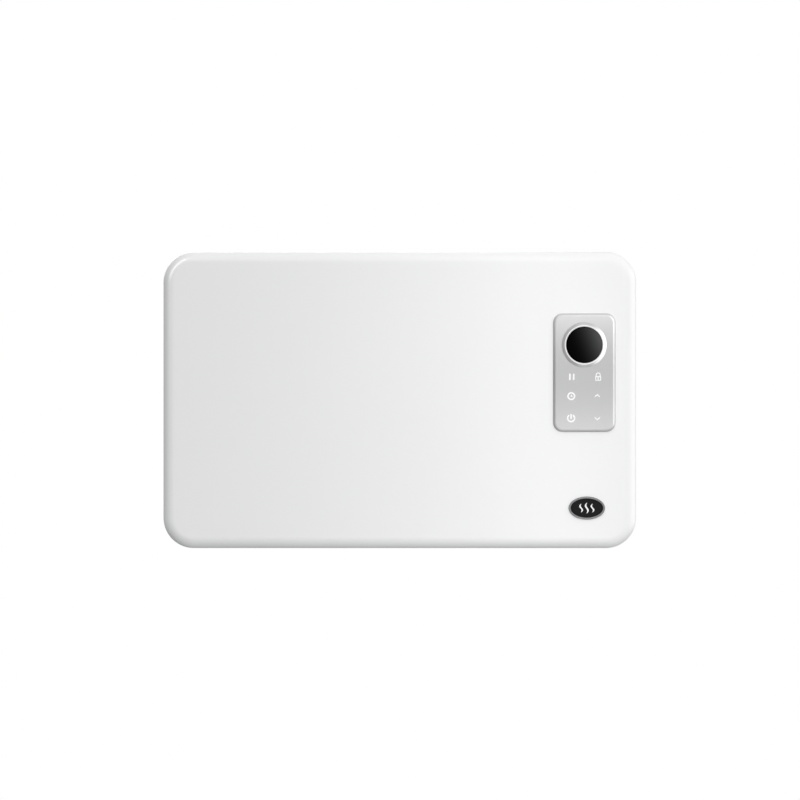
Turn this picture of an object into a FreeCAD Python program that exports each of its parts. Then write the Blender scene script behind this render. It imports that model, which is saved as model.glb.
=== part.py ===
import FreeCAD, Part
import math
import os
from FreeCAD import Vector

# Wall-hung panel heater, in millimetres. It is laid out about the middle of its front,
# +X to the right, +Z up, the front facing -Y and the wall at Y = 0. Each piece is moved
# at the end so that the origin lies at the middle of the wall bracket's screw holes.

# Front cover, pressed from one sheet
body_width = 600.0
body_height = 376.0
corner_radius = 38.5
edge_radius = 14.0
cover_depth = 40.0
cover_sheet = 1.0
cover_fold = 1.0
lip_width = 12.0

# Air slots along the top and the bottom of the cover
slot_width = 5.0
slot_pitch = 10.0
slot_margin = 3.0
slot_side_margin = 72.0

# Back panel, a shallow pan with a flange that lies on the cover's lip
wall_gap = 18.0
pan_depth = 24.0
pan_sheet = 1.0
pan_inset = 16.0
pan_fold = 2.0
flange_margin = 3.0

# Vents in the back panel
vent_length = 56.0
vent_width = 4.0
vent_pitch = 9.0
vent_column_pitch = 80.0
vent_edge_distance = 14.0
vent_rows = 4
vent_columns = 3

# Tapping screws of the casing and of the pieces on the back panel
screw_radius = 1.75
screw_head_radius = 3.4
screw_head_height = 2.2
screw_head_dome = 1.3
screw_length = 6.5
screw_point = 1.2
screw_recess_width = 0.9
screw_recess_depth = 1.0
screw_hole_play = 0.3
thread_play = 0.1
flange_screw_inset = 5.0
casing_screw_width_shares = (-0.39, -0.13, 0.13, 0.39)
casing_screw_height_shares = (-0.25, 0.25)

# Wall bracket, folded from one strip, with two hooks
rail_length = 340.0
rail_height = 44.0
rail_sheet = 2.0
rail_corner = 6.0
rail_drop = 110.0
rail_hole_radius = 3.0
rail_hole_pitch_x = 280.0
rail_hole_pitch_z = 24.0
hook_pitch = 260.0
hook_width = 26.0
hook_neck = 8.0
hook_lip = 10.0
hook_play = 2.0
hook_side_play = 3.0
hook_bend = 1.0
hang_play = 0.2
lift_travel = 12.0

# Rubber spacers that keep the bottom off the wall
spacer_radius = 11.0
spacer_tip_radius = 9.0
spacer_bore_depth = 7.0
spacer_bore_play = 0.8
spacer_side_margin = 65.0
spacer_bottom_margin = 58.0

# Control fascia and the parts in it
fascia_width = 79.2
fascia_height = 150.2
fascia_corner = 12.0
fascia_proud = 3.5
fascia_edge = 3.0
fascia_wall = 2.0
fascia_side_margin = 26.5
fascia_bottom_margin = 147.5
skirt_inset = 6.0
skirt_depth = 18.0
skirt_wall = 2.0
skirt_corner = 5.0
window_play = 0.4
snap_length = 10.0
snap_height = 1.3
snap_width = 3.0
snap_share = 0.28
boss_radius = 3.0
boss_inset = 4.5
boss_length = 8.0

# Round display
display_rise_share = 0.2347
lens_radius = 23.05
lens_thickness = 2.3
lens_dome = 0.5
lens_seat = 1.0
lens_ledge = 1.8
lens_play = 0.1
ring_radius = 28.5
ring_height = 1.8
ring_spigot_wall = 1.1
module_width = 36.0
module_height = 24.0
module_depth = 7.0

# Six touch marks, in two columns
mark_pitch = 33.0
mark_drop_shares = (0.0333, 0.1975, 0.3837)
post_radius = 3.4

# Boards
board_sheet = 1.6
display_board_play = 0.5
power_board_width = 80.0
power_board_height = 105.0
power_board_lift = 20.0
board_screw_inset = 5.0
standoff_radius = 3.6
standoff_height = 14.0
standoff_thread_share = 0.38
box_cover_sheet = 1.8
box_cover_rib = 1.4
box_cover_rib_depth = 4.0
box_cover_play = 0.2

# Components on the power board: width, height and depth, and their places on the board
relay_width = 15.5
relay_height = 19.0
relay_depth = 15.5
relay_across_share = 0.37
relay_up_shares = (0.6, 0.82)
transformer_width = 30.0
transformer_height = 24.0
transformer_depth = 20.0
transformer_shares = (0.72, 0.44)
film_capacitor_width = 18.0
film_capacitor_height = 8.0
film_capacitor_depth = 14.0
film_capacitor_shares = (0.3, 0.3)
can_radius = 5.0
can_length = 16.0
can_shares = (0.78, 0.66)
buzzer_radius = 6.0
buzzer_height = 7.5
buzzer_shares = (0.78, 0.84)
mains_block_width = 30.0
mains_block_height = 10.0
mains_block_depth = 12.0
mains_block_shares = (0.6, 0.13)
output_block_width = 10.0
output_block_height = 22.0
output_block_depth = 12.0
output_block_across_share = 0.14
plug_width = 14.0
plug_height = 6.0
plug_depth = 7.0
ribbon_socket_up_share = 0.945
sensor_socket_width = 6.0
sensor_socket_shares = (0.9, 0.22)

# Badge
badge_width = 46.2
badge_height = 29.2
badge_rim = 2.6
badge_rim_height = 1.8
badge_face_height = 1.2
badge_rim_edge = 0.8
badge_side_margin = 39.8
badge_bottom_margin = 36.4

# Partition between the hot side and the electronics
bay_width = 108.0
partition_sheet = 1.0
partition_play = 2.0
foot_width = 14.0
foot_screw_shares = (-0.4, 0.0, 0.4)
fold_radius = 1.0
grommet_bore = 7.5
grommet_wall = 1.5
grommet_lip = 2.0
grommet_lip_height = 2.0
grommet_play = 0.1

# Heating element, a hairpin with a finned extrusion on each leg
core_radius = 5.0
leg_pitch = 52.0
leg_lift = 60.0
leg_overhang = 12.0
bend_clearance = 12.0
terminal_room = 40.0
core_stub = 10.0
hub_radius = 7.5
fin_reach = 24.0
fin_sheet = 1.8
fin_angle = 35.0
fin_slit = 2.0
fin_slit_pitch = 24.0
fin_end_gap = 0.5
core_play = 0.1
seal_radius = 4.0
seal_length = 4.0
pin_radius = 1.6
pin_length = 16.0
bracket_sheet = 1.2
bracket_margin = 22.0
bracket_reach = 14.0
bracket_screw_share = 0.34
bush_radius = 7.5
bush_flange_radius = 9.5
bush_flange = 3.0
bush_tail = 1.0
bush_play = 0.15

# Heat reflector
reflector_sheet = 0.8
reflector_standoff = 9.0
reflector_gap = 3.0
reflector_foot = 12.0
reflector_bottom_margin = 22.0
reflector_height = 250.0
reflector_screw_share = 0.3

# Thermal cut-out, let into the partition
cutout_lift = 40.0
cutout_cap_radius = 8.0
cutout_cap_length = 5.0
cutout_flange_pitch = 24.0
cutout_flange_radius = 4.5
cutout_flange_sheet = 0.8
cutout_body_radius = 8.5
cutout_body_length = 9.0
cutout_play = 0.3
cutout_screw_length = 4.5
tab_width = 5.0
tab_sheet = 0.8
tab_length = 8.0
tab_pitch = 9.0

# Mains switch
switch_lift = 24.0
switch_length = 21.0
switch_width = 15.0
switch_flange = 2.0
switch_flange_margin = 1.0
switch_depth = 18.0
switch_hole_play = 0.2
rocker_radius = 8.2
rocker_width = 10.4
rocker_rise = 2.0
rocker_root = 4.0
rocker_tilt = 10.0
rocker_play = 0.3
pivot_depth = 1.0
pivot_radius = 1.2
pivot_length = 0.7
pivot_play = 0.05

# Cable gland
gland_side_margin = 68.0
gland_radius = 7.5
gland_head = 9.0
gland_edge = 1.2
gland_thread_radius = 5.9
gland_tail = 9.0
gland_bore_radius = 3.7
gland_hole_play = 0.15
nut_radius = 8.0
nut_height = 4.5

# Room sensor
sensor_corner_gap = 1.0
sensor_radius = 2.6
sensor_drop = 5.0
sensor_holder_width = 12.0
sensor_holder_depth = 10.0
sensor_holder_height = 8.0
sensor_play = 0.15

# Earth stud
earth_radius = 2.0
earth_length = 11.0
earth_side_gap = 22.0
earth_lift = 10.0
earth_nut_radius = 3.9
earth_nut_height = 3.2

# Wiring
lead_radius = 1.3
lead_bend = 4.0
lead_spread = 7.0
sensor_lead_radius = 1.1
ribbon_sheet = 1.0
ribbon_width = 11.0
ribbon_bend = 3.0

# Cuts run past the sheet that they cut by this much; planes this near are one plane
overrun = 1.0
same_plane = 0.01

# Planes, from the wall to the front
y_pan = -wall_gap
y_floor = y_pan - pan_sheet
y_join = y_pan - pan_depth
y_face = y_join - cover_depth
y_inside = y_face + cover_sheet
y_fascia = y_face - fascia_proud
y_pocket = y_fascia + fascia_wall
y_display_board = y_pocket + boss_length
y_box_cover = y_face + skirt_depth
y_power_board = y_floor - standoff_height
y_components = y_power_board - board_sheet
y_reflector = y_floor - reflector_standoff
y_element = (y_reflector - reflector_sheet + y_inside) / 2

# Half sizes inside and outside the back panel
pan_half_width = body_width / 2 - pan_inset
pan_half_height = body_height / 2 - pan_inset
bay_right = pan_half_width - pan_sheet
pan_bottom = pan_sheet - pan_half_height

# Wall bracket
z_rail = body_height / 2 - rail_drop
z_shelf = z_rail + rail_height / 2 + hook_neck
y_hook_lip = y_floor - hook_play

# Fascia and display
fascia_x = body_width / 2 - fascia_side_margin - fascia_width / 2
fascia_z = fascia_bottom_margin + fascia_height / 2 - body_height / 2
skirt_width = fascia_width - 2 * skirt_inset
skirt_height = fascia_height - 2 * skirt_inset
display_z = fascia_z + display_rise_share * fascia_height
spigot_radius = lens_radius + lens_play + ring_spigot_wall

# Hot side, the element lying between its two brackets
partition_x = bay_right - bay_width
right_web_x = partition_x - partition_sheet - terminal_room
left_web_x = leg_overhang + leg_pitch / 2 + core_radius + bend_clearance - bay_right
leg_low_z = pan_bottom + leg_lift
leg_high_z = leg_low_z + leg_pitch
leg_mid_z = (leg_low_z + leg_high_z) / 2

# Power board
board_x = (partition_x + bay_right) / 2
board_left = board_x - power_board_width / 2
board_bottom = pan_bottom + power_board_lift

# Mains switch on the right wall of the back panel
switch_y = (y_floor - pan_fold + y_join + pan_sheet) / 2
switch_z = board_bottom + power_board_height + switch_lift
switch_x = pan_half_width
pivot_x = switch_x + switch_flange - pivot_depth


# Helpers

def block(x0, x1, y0, y1, z0, z1):
    """A box between two places on each axis."""
    return Part.makeBox(x1 - x0, y1 - y0, z1 - z0, Vector(x0, y0, z0))


def standing_on(x, z, width, height, depth):
    """A component that stands on the front of the power board."""
    return block(x - width / 2, x + width / 2, y_components - depth, y_components,
                 z - height / 2, z + height / 2)


def rod(x, y, z, direction, radius, length):
    """A round bar that starts at a place and runs along a direction."""
    return Part.makeCylinder(radius, length, Vector(x, y, z), direction)


def ring(x, y, z, direction, outer, inner, length):
    """A round tube."""
    return rod(x, y, z, direction, outer, length).cut(rod(x, y, z, direction, inner, length))


right, back, front, up, down, left = (Vector(1, 0, 0), Vector(0, 1, 0), Vector(0, -1, 0),
                                      Vector(0, 0, 1), Vector(0, 0, -1), Vector(-1, 0, 0))


def edges_along(shape, direction):
    """The straight edges that run along a direction."""
    return [e for e in shape.Edges
            if e.Curve.TypeId == "Part::GeomLine" and e.Curve.Direction.cross(direction).Length == 0]


def rounded_block(x, z, width, height, radius, y0, y1):
    """A block with its four edges along Y rounded."""
    solid = block(x - width / 2, x + width / 2, y0, y1, z - height / 2, z + height / 2)
    return solid.makeFillet(radius, edges_along(solid, back))


def soften(solid, radius, y):
    """Rounds the edges that lie in one plane across Y."""
    flat = [e for e in solid.Edges
            if max(abs(e.BoundBox.YMin - y), abs(e.BoundBox.YMax - y)) < same_plane]
    return solid.makeFillet(radius, flat)


def long_hole(start, end, radius, direction, length):
    """A slot with round ends between two centres, as a solid to cut with."""
    along = (end - start).normalize()
    side = along.cross(direction) * radius
    tip = along * radius
    outline = Part.Wire([
        Part.makeLine(start + side, end + side),
        Part.Arc(end + side, end + tip, end - side).toShape(),
        Part.makeLine(end - side, start - side),
        Part.Arc(start - side, start - tip, start + side).toShape()])
    return Part.Face(outline).extrude(direction * length)


def folded(points, radii):
    """The edges of a line through points, with an arc of the given radius at each inner point."""
    edges = []
    last = points[0]
    for before, corner, after, radius in zip(points, points[1:], points[2:], radii):
        if radius == 0:
            edges.append(Part.makeLine(last, corner))
            last = corner
            continue
        to_before = (before - corner).normalize()
        to_after = (after - corner).normalize()
        half = to_before.getAngle(to_after) / 2
        start = corner + to_before * (radius / math.tan(half))
        end = corner + to_after * (radius / math.tan(half))
        bisector = (to_before + to_after).normalize()
        middle = corner + bisector * (radius / math.sin(half) - radius)
        edges.append(Part.makeLine(last, start))
        edges.append(Part.Arc(start, middle, end).toShape())
        last = end
    edges.append(Part.makeLine(last, points[-1]))
    return edges


def profile(points, radii):
    """A flat face with rounded corners. The first point stays sharp."""
    closed = points + points[:1]
    return Part.Face(Part.Wire(folded(closed, radii)))


def wire(points, radius, bend):
    """A round wire through points, with arcs at its bends."""
    path = Part.Wire(folded(points, [bend] * (len(points) - 2)))
    start = points[0]
    section = Part.Wire(Part.makeCircle(radius, start, points[1] - start))
    return path.makePipeShell([section], True, False)


def angle_plate(x, side, y_tip, z0, z1, sheet):
    """A folded plate that stands on the back panel: its outer face at x, its foot to one side."""
    points = [Vector(x + side * foot_width, y_floor, z0), Vector(x, y_floor, z0),
              Vector(x, y_tip, z0), Vector(x + side * sheet, y_tip, z0),
              Vector(x + side * sheet, y_floor - sheet, z0),
              Vector(x + side * foot_width, y_floor - sheet, z0)]
    radii = [fold_radius + sheet, 0, 0, fold_radius, 0]
    return profile(points, radii).extrude(up * (z1 - z0))


def screw_at(x, y, z, length):
    """A domed tapping screw that is driven towards the front, its head seated at y."""
    head = domed_disc(screw_head_radius, screw_head_height, screw_head_dome)
    shank = rod(0, 0, 0, front, screw_radius, length - screw_point)
    point = Part.makeCone(screw_radius, screw_radius / 2, screw_point,
                          Vector(0, screw_point - length, 0), front)
    arm = screw_radius
    wide = screw_recess_width / 2
    depth = screw_head_height - screw_recess_depth
    cross = block(-arm, arm, depth, screw_head_height, -wide, wide).fuse(
        block(-wide, wide, depth, screw_head_height, -arm, arm))
    solid = head.fuse([shank, point]).cut(cross).removeSplitter()
    return solid.translated(Vector(x, y, z))


def domed_disc(radius, height, dome):
    """A disc that stands on y = 0 towards the back, its top a shallow dome of the given rise."""
    ball = (radius * radius + dome * dome) / (2 * dome)
    return rod(0, 0, 0, back, radius, height).common(
        Part.makeSphere(ball, Vector(0, height - ball, 0)))


def hex_nut(x, y, z, direction, radius, bore, height):
    """A six-sided nut, its corners at the given radius."""
    corners = []
    across = up if abs(direction.z) < abs(direction.y) else right
    for step in range(7):
        turn = FreeCAD.Rotation(direction, 60 * step)
        corners.append(Vector(x, y, z) + turn.multVec(across) * radius)
    solid = Part.Face(Part.makePolygon(corners)).extrude(direction * height)
    return solid.cut(rod(x, y, z, direction, bore, height))


# Places that pieces share

def casing_screw_places():
    """Screws all round the flange of the back panel."""
    inset = flange_margin + flange_screw_inset
    places = []
    for share in casing_screw_width_shares:
        for side in (-1, 1):
            places.append((share * body_width, side * (body_height / 2 - inset)))
    for share in casing_screw_height_shares:
        for side in (-1, 1):
            places.append((side * (body_width / 2 - inset), share * body_height))
    return places


def bracket_span():
    """Bottom and top of the element brackets."""
    return leg_low_z - bracket_margin, leg_high_z + bracket_margin


def reflector_span():
    """Left, right, bottom and top of the reflector."""
    bottom = pan_bottom + reflector_bottom_margin
    return (left_web_x + foot_width + reflector_gap, right_web_x - foot_width - reflector_gap,
            bottom, bottom + reflector_height)


def partition_top():
    """The partition stands clear of the back panel's walls by this height from the middle."""
    return pan_half_height - pan_sheet - partition_play


def standoff_places():
    """Corners of the power board."""
    places = []
    for x in (board_left + board_screw_inset, board_left + power_board_width - board_screw_inset):
        for z in (board_bottom + board_screw_inset,
                  board_bottom + power_board_height - board_screw_inset):
            places.append((x, z))
    return places


def chassis_screw_places():
    """Screws through the back panel into the feet of the pieces that stand on it."""
    low, high = bracket_span()
    middle = (low + high) / 2
    places = []
    for x in (left_web_x + foot_width / 2, right_web_x - foot_width / 2):
        for side in (-1, 1):
            places.append((x, middle + side * bracket_screw_share * (high - low)))
    for share in foot_screw_shares:
        places.append((partition_x - foot_width / 2, share * 2 * partition_top()))
    x0, x1, z0, z1 = reflector_span()
    for x in (x0 + reflector_foot / 2, x1 - reflector_foot / 2):
        for side in (-1, 1):
            places.append((x, (z0 + z1) / 2 + side * reflector_screw_share * (z1 - z0)))
    return places + standoff_places()


def spacer_places():
    """Spacers near the bottom of the back panel."""
    x = body_width / 2 - spacer_side_margin
    z = spacer_bottom_margin - body_height / 2
    return [(-x, z), (x, z)]


def boss_places():
    """Bosses at the corners inside the fascia's skirt."""
    x = skirt_width / 2 - skirt_wall - boss_inset
    z = skirt_height / 2 - skirt_wall - boss_inset
    return [(fascia_x + i * x, fascia_z + j * z) for i in (-1, 1) for j in (-1, 1)]


def mark_places():
    """Centres of the six touch marks."""
    return [(fascia_x + side * mark_pitch / 2, fascia_z - share * fascia_height)
            for share in mark_drop_shares for side in (-1, 1)]


def output_block_place():
    """The output terminals stand level with the grommet."""
    return board_left + output_block_across_share * power_board_width, leg_mid_z


def ribbon_socket_place():
    """The ribbon's socket stands straight below its plug."""
    return fascia_x, board_bottom + ribbon_socket_up_share * power_board_height


def on_board(shares):
    """A place on the power board, as shares of its width and height."""
    return board_left + shares[0] * power_board_width, board_bottom + shares[1] * power_board_height


# Casing

def front_cover():
    """The pressed cover: a soft-edged pan, its rear edge folded inwards as a lip."""
    outer = rounded_block(0, 0, body_width, body_height, corner_radius, y_face, y_join)
    outer = soften(soften(outer, edge_radius, y_face), cover_fold + cover_sheet, y_join)
    inner = rounded_block(0, 0, body_width - 2 * cover_sheet, body_height - 2 * cover_sheet,
                          corner_radius - cover_sheet, y_inside, y_join - cover_sheet)
    inner = soften(soften(inner, edge_radius - cover_sheet, y_inside), cover_fold,
                   y_join - cover_sheet)
    inset = cover_sheet + lip_width
    mouth = rounded_block(0, 0, body_width - 2 * inset, body_height - 2 * inset,
                          corner_radius - inset, y_join - cover_sheet - overrun, y_join + overrun)
    window = rounded_block(fascia_x, fascia_z, skirt_width + 2 * window_play,
                           skirt_height + 2 * window_play, skirt_corner + window_play,
                           y_face - overrun, y_inside + overrun)
    cuts = [inner, mouth, window] + air_slots()
    for x, z in casing_screw_places():
        cuts.append(rod(x, y_join + overrun, z, front, screw_radius + thread_play,
                        cover_sheet + 2 * overrun))
    return outer.cut(cuts).removeSplitter()


def air_slots():
    """Cutters for the slots, each through the bottom and the top of the cover."""
    radius = slot_width / 2
    y0 = y_face + edge_radius + slot_margin + radius
    y1 = y_join - cover_sheet - cover_fold - slot_margin - radius
    gaps = int((body_width - 2 * slot_side_margin) / slot_pitch)
    z = -body_height / 2 - overrun
    cutters = []
    for i in range(gaps + 1):
        x = (i - gaps / 2) * slot_pitch
        cutters.append(long_hole(Vector(x, y0, z), Vector(x, y1, z), radius, up,
                                 body_height + 2 * overrun))
    return cutters


def back_panel():
    """The rear pan with its flange, hook slots, vents and holes."""
    width, height = 2 * pan_half_width, 2 * pan_half_height
    outer = rounded_block(0, 0, width, height, corner_radius - pan_inset, y_join, y_pan)
    outer = soften(outer, pan_fold + pan_sheet, y_pan)
    inner = rounded_block(0, 0, width - 2 * pan_sheet, height - 2 * pan_sheet,
                          corner_radius - pan_inset - pan_sheet, y_join - overrun, y_floor)
    inner = soften(inner, pan_fold, y_floor)
    flange = rounded_block(0, 0, body_width - 2 * flange_margin, body_height - 2 * flange_margin,
                           corner_radius - flange_margin, y_join, y_join + pan_sheet)
    cuts = [inner, switch_cutout(), gland_hole(), sensor_hole()] + hook_slots() + vents()
    for x, z in casing_screw_places():
        cuts.append(rod(x, y_join - overrun, z, back, screw_radius + screw_hole_play,
                        pan_sheet + 2 * overrun))
    for x, z in chassis_screw_places() + spacer_places():
        cuts.append(rod(x, y_pan + overrun, z, front, screw_radius + screw_hole_play,
                        pan_sheet + 2 * overrun))
    return outer.fuse(flange).cut(cuts).removeSplitter()


def hook_slots():
    """Slots that drop over the hooks, tall enough for the lift."""
    top = z_shelf + hang_play
    bottom = z_shelf - rail_sheet - lift_travel - hook_side_play
    half = hook_width / 2 + hook_side_play
    return [block(x - half, x + half, y_floor - overrun, y_pan + overrun, bottom, top)
            for x in (-hook_pitch / 2, hook_pitch / 2)]


def vents():
    """Rows of vents near the top and the bottom of the back panel."""
    half = vent_length / 2 - vent_width / 2
    cutters = []
    for row in range(vent_rows):
        z = pan_half_height - vent_edge_distance - row * vent_pitch
        for column in range(vent_columns):
            x = (column - (vent_columns - 1) / 2) * vent_column_pitch
            for level in (-z, z):
                cutters.append(long_hole(
                    Vector(x - half, y_pan + overrun, level), Vector(x + half, y_pan + overrun, level),
                    vent_width / 2, front, pan_sheet + 2 * overrun))
    return cutters


def switch_cutout():
    """Opening for the switch in the right wall of the back panel."""
    half_z = switch_length / 2 - switch_flange_margin + switch_hole_play
    half_y = switch_width / 2 - switch_flange_margin + switch_hole_play
    return block(switch_x - pan_sheet - overrun, switch_x + overrun, switch_y - half_y,
                 switch_y + half_y, switch_z - half_z, switch_z + half_z)


def gland_hole():
    """Hole for the cable gland in the bottom wall of the back panel."""
    return rod(gland_x(), switch_y, pan_bottom + overrun, down, gland_thread_radius + gland_hole_play,
               pan_sheet + 2 * overrun)


def sensor_hole():
    """Hole for the room sensor in the bottom wall of the back panel."""
    return rod(sensor_x(), switch_y, pan_bottom + overrun, down, sensor_radius + sensor_play,
               pan_sheet + 2 * overrun)


def casing_screws():
    """Screws through the back panel's flange into the cover's lip."""
    return Part.makeCompound([screw_at(x, y_join + pan_sheet, z, screw_length)
                              for x, z in casing_screw_places()])


def chassis_screws():
    """Screws through the back panel into the pieces that stand on it."""
    return Part.makeCompound([screw_at(x, y_pan, z, screw_length)
                              for x, z in chassis_screw_places()])


# Wall bracket and spacers

def wall_bracket():
    """A strip with four screw holes, two tabs of it folded forward and up as hooks."""
    plate = rounded_block(0, z_rail, rail_length, rail_height, rail_corner, -rail_sheet, 0)
    holes = [rod(i * rail_hole_pitch_x / 2, overrun, z_rail + j * rail_hole_pitch_z / 2, front,
                 rail_hole_radius, rail_sheet + 2 * overrun) for i in (-1, 1) for j in (-1, 1)]
    tip = y_hook_lip - rail_sheet
    hooks = []
    for x in (-hook_pitch / 2, hook_pitch / 2):
        x0 = x - hook_width / 2
        points = [Vector(x0, 0, z_rail), Vector(x0, 0, z_shelf), Vector(x0, y_hook_lip, z_shelf),
                  Vector(x0, y_hook_lip, z_shelf + hook_lip), Vector(x0, tip, z_shelf + hook_lip),
                  Vector(x0, tip, z_shelf - rail_sheet),
                  Vector(x0, -rail_sheet, z_shelf - rail_sheet), Vector(x0, -rail_sheet, z_rail)]
        outside = hook_bend + rail_sheet
        radii = [outside, hook_bend, 0, 0, outside, hook_bend, 0]
        hooks.append(profile(points, radii).extrude(right * hook_width))
    return plate.fuse(hooks).cut(holes).removeSplitter()


def wall_spacers():
    """Tapered rubber spacers, bored for their screws."""
    solids = []
    for x, z in spacer_places():
        body = Part.makeCone(spacer_radius, spacer_tip_radius, wall_gap, Vector(x, y_pan, z), back)
        hole = rod(x, y_pan, z, back, screw_radius + screw_hole_play, wall_gap)
        bore = rod(x, 0, z, front, screw_head_radius + spacer_bore_play, spacer_bore_depth)
        solids.append(body.cut([hole, bore]))
    return Part.makeCompound(solids)


def spacer_screws():
    """Longer screws that hold the spacers to the back panel."""
    grip = wall_gap - spacer_bore_depth
    return Part.makeCompound([screw_at(x, -spacer_bore_depth, z, grip + screw_length)
                              for x, z in spacer_places()])


# Controls at the front

def control_fascia():
    """The raised moulding, with a skirt through the cover and bosses for the display board."""
    plate = rounded_block(fascia_x, fascia_z, fascia_width, fascia_height, fascia_corner,
                          y_fascia, y_face)
    plate = soften(plate, fascia_edge, y_fascia)
    skirt = rounded_block(fascia_x, fascia_z, skirt_width, skirt_height, skirt_corner,
                          y_face - fascia_wall / 2, y_box_cover)
    hollow = rounded_block(fascia_x, fascia_z, skirt_width - 2 * skirt_wall,
                           skirt_height - 2 * skirt_wall, skirt_corner - skirt_wall,
                           y_pocket, y_box_cover + overrun)
    body = plate.fuse([skirt] + snaps()).cut(hollow)
    bosses = [rod(x, y_pocket - fascia_wall / 2, z, back, boss_radius, boss_length + fascia_wall / 2)
              for x, z in boss_places()]
    pilots = [rod(x, y_display_board, z, front, screw_radius + thread_play, boss_length)
              for x, z in boss_places()]
    seat = rod(fascia_x, y_fascia - overrun, display_z, back, spigot_radius + lens_play,
               lens_seat + overrun)
    hole = rod(fascia_x, y_fascia, display_z, back, lens_radius - lens_ledge, fascia_proud)
    return body.fuse(bosses).cut(pilots + [seat, hole]).removeSplitter()


def snaps():
    """Snap ribs on the skirt that catch behind the cover's sheet."""
    y0 = y_inside + window_play / 2
    ribs = []
    for side in (-1, 1):
        x = fascia_x + side * skirt_width / 2
        x0, x1 = sorted((x - side * skirt_wall / 2, x + side * snap_height))
        for share in (-snap_share, snap_share):
            z = fascia_z + share * skirt_height
            ribs.append(block(x0, x1, y0, y0 + snap_width, z - snap_length / 2, z + snap_length / 2))
    return ribs


def display_ring():
    """The pale bezel: a rounded ring with a spigot in the fascia's seat."""
    bore = lens_radius + lens_play
    crest = (bore + ring_radius) / 2
    outline = Part.Wire([
        Part.makeLine(Vector(bore, lens_seat, 0), Vector(spigot_radius, lens_seat, 0)),
        Part.makeLine(Vector(spigot_radius, lens_seat, 0), Vector(spigot_radius, 0, 0)),
        Part.makeLine(Vector(spigot_radius, 0, 0), Vector(ring_radius, 0, 0)),
        Part.Arc(Vector(ring_radius, 0, 0), Vector(crest, -ring_height, 0),
                 Vector(bore, -ring_height / 2, 0)).toShape(),
        Part.makeLine(Vector(bore, -ring_height / 2, 0), Vector(bore, lens_seat, 0))])
    solid = Part.Face(outline).revolve(Vector(0, 0, 0), back, 360)
    return solid.translated(Vector(fascia_x, y_fascia, display_z))


def display_lens():
    """The smoked window, slightly domed, seated on the fascia's ledge."""
    disc = domed_disc(lens_radius, lens_thickness, lens_dome)
    disc.rotate(Vector(0, 0, 0), up, 180)
    return disc.translated(Vector(fascia_x, y_fascia + lens_seat, display_z))


def display_board():
    """The board on the fascia's bosses."""
    width = skirt_width - 2 * (skirt_wall + display_board_play)
    height = skirt_height - 2 * (skirt_wall + display_board_play)
    board = rounded_block(fascia_x, fascia_z, width, height, screw_radius, y_display_board,
                          y_display_board + board_sheet)
    holes = [rod(x, y_display_board, z, back, screw_radius + screw_hole_play, board_sheet)
             for x, z in boss_places()]
    return board.cut(holes)


def display_board_screws():
    """Screws through the display board into the bosses."""
    return Part.makeCompound([screw_at(x, y_display_board + board_sheet, z, screw_length)
                              for x, z in boss_places()])


def display_module():
    """The lit number block on the display board, behind the lens."""
    return block(fascia_x - module_width / 2, fascia_x + module_width / 2,
                 y_display_board - module_depth, y_display_board,
                 display_z - module_height / 2, display_z + module_height / 2)


def touch_posts():
    """Conductive foam posts between the display board and the fascia, one behind each mark."""
    return Part.makeCompound([rod(x, y_pocket, z, back, post_radius, boss_length)
                              for x, z in mark_places()])


def ribbon_z():
    """Height of the ribbon's plug at the foot of the display board."""
    return fascia_z - skirt_height / 2 + skirt_wall + display_board_play + plug_height


def ribbon_plug():
    """Plug on the back of the display board, reached through the box cover."""
    y0 = y_display_board + board_sheet
    return block(fascia_x - plug_width / 2, fascia_x + plug_width / 2, y0, y0 + plug_depth,
                 ribbon_z() - plug_height / 2, ribbon_z() + plug_height / 2)


def control_box_cover():
    """Lid on the skirt, with a rib inside it and an opening for the ribbon."""
    lid = rounded_block(fascia_x, fascia_z, skirt_width, skirt_height, skirt_corner, y_box_cover,
                        y_box_cover + box_cover_sheet)
    inset = skirt_wall + box_cover_play
    width, height = skirt_width - 2 * inset, skirt_height - 2 * inset
    y0 = y_box_cover - box_cover_rib_depth
    rib = rounded_block(fascia_x, fascia_z, width, height, skirt_corner - skirt_wall, y0,
                        y_box_cover)
    hollow = block(fascia_x - width / 2 + box_cover_rib, fascia_x + width / 2 - box_cover_rib,
                   y0, y_box_cover, fascia_z - height / 2 + box_cover_rib,
                   fascia_z + height / 2 - box_cover_rib)
    opening = block(fascia_x - plug_width / 2, fascia_x + plug_width / 2, y_box_cover - overrun,
                    y_box_cover + box_cover_sheet + overrun, ribbon_z() - plug_height / 2,
                    ribbon_z() + plug_height / 2)
    return lid.fuse(rib.cut(hollow)).cut(opening).removeSplitter()


def badge_oval(inset, height):
    """An oval plate on the front of the cover."""
    x = body_width / 2 - badge_side_margin - badge_width / 2
    z = badge_bottom_margin + badge_height / 2 - body_height / 2
    curve = Part.Ellipse(Vector(x + badge_width / 2 - inset, y_face, z),
                         Vector(x, y_face, z + badge_height / 2 - inset), Vector(x, y_face, z))
    return Part.Face(Part.Wire(curve.toShape())).extrude(front * height)


def badge_rim_plate():
    """The bright rim of the badge."""
    rim = badge_oval(0, badge_rim_height).cut(badge_oval(badge_rim, badge_rim_height))
    return soften(rim, badge_rim_edge, y_face - badge_rim_height)


def badge_face():
    """The dark plate inside the rim."""
    return badge_oval(badge_rim, badge_face_height)


# Hot side

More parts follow.
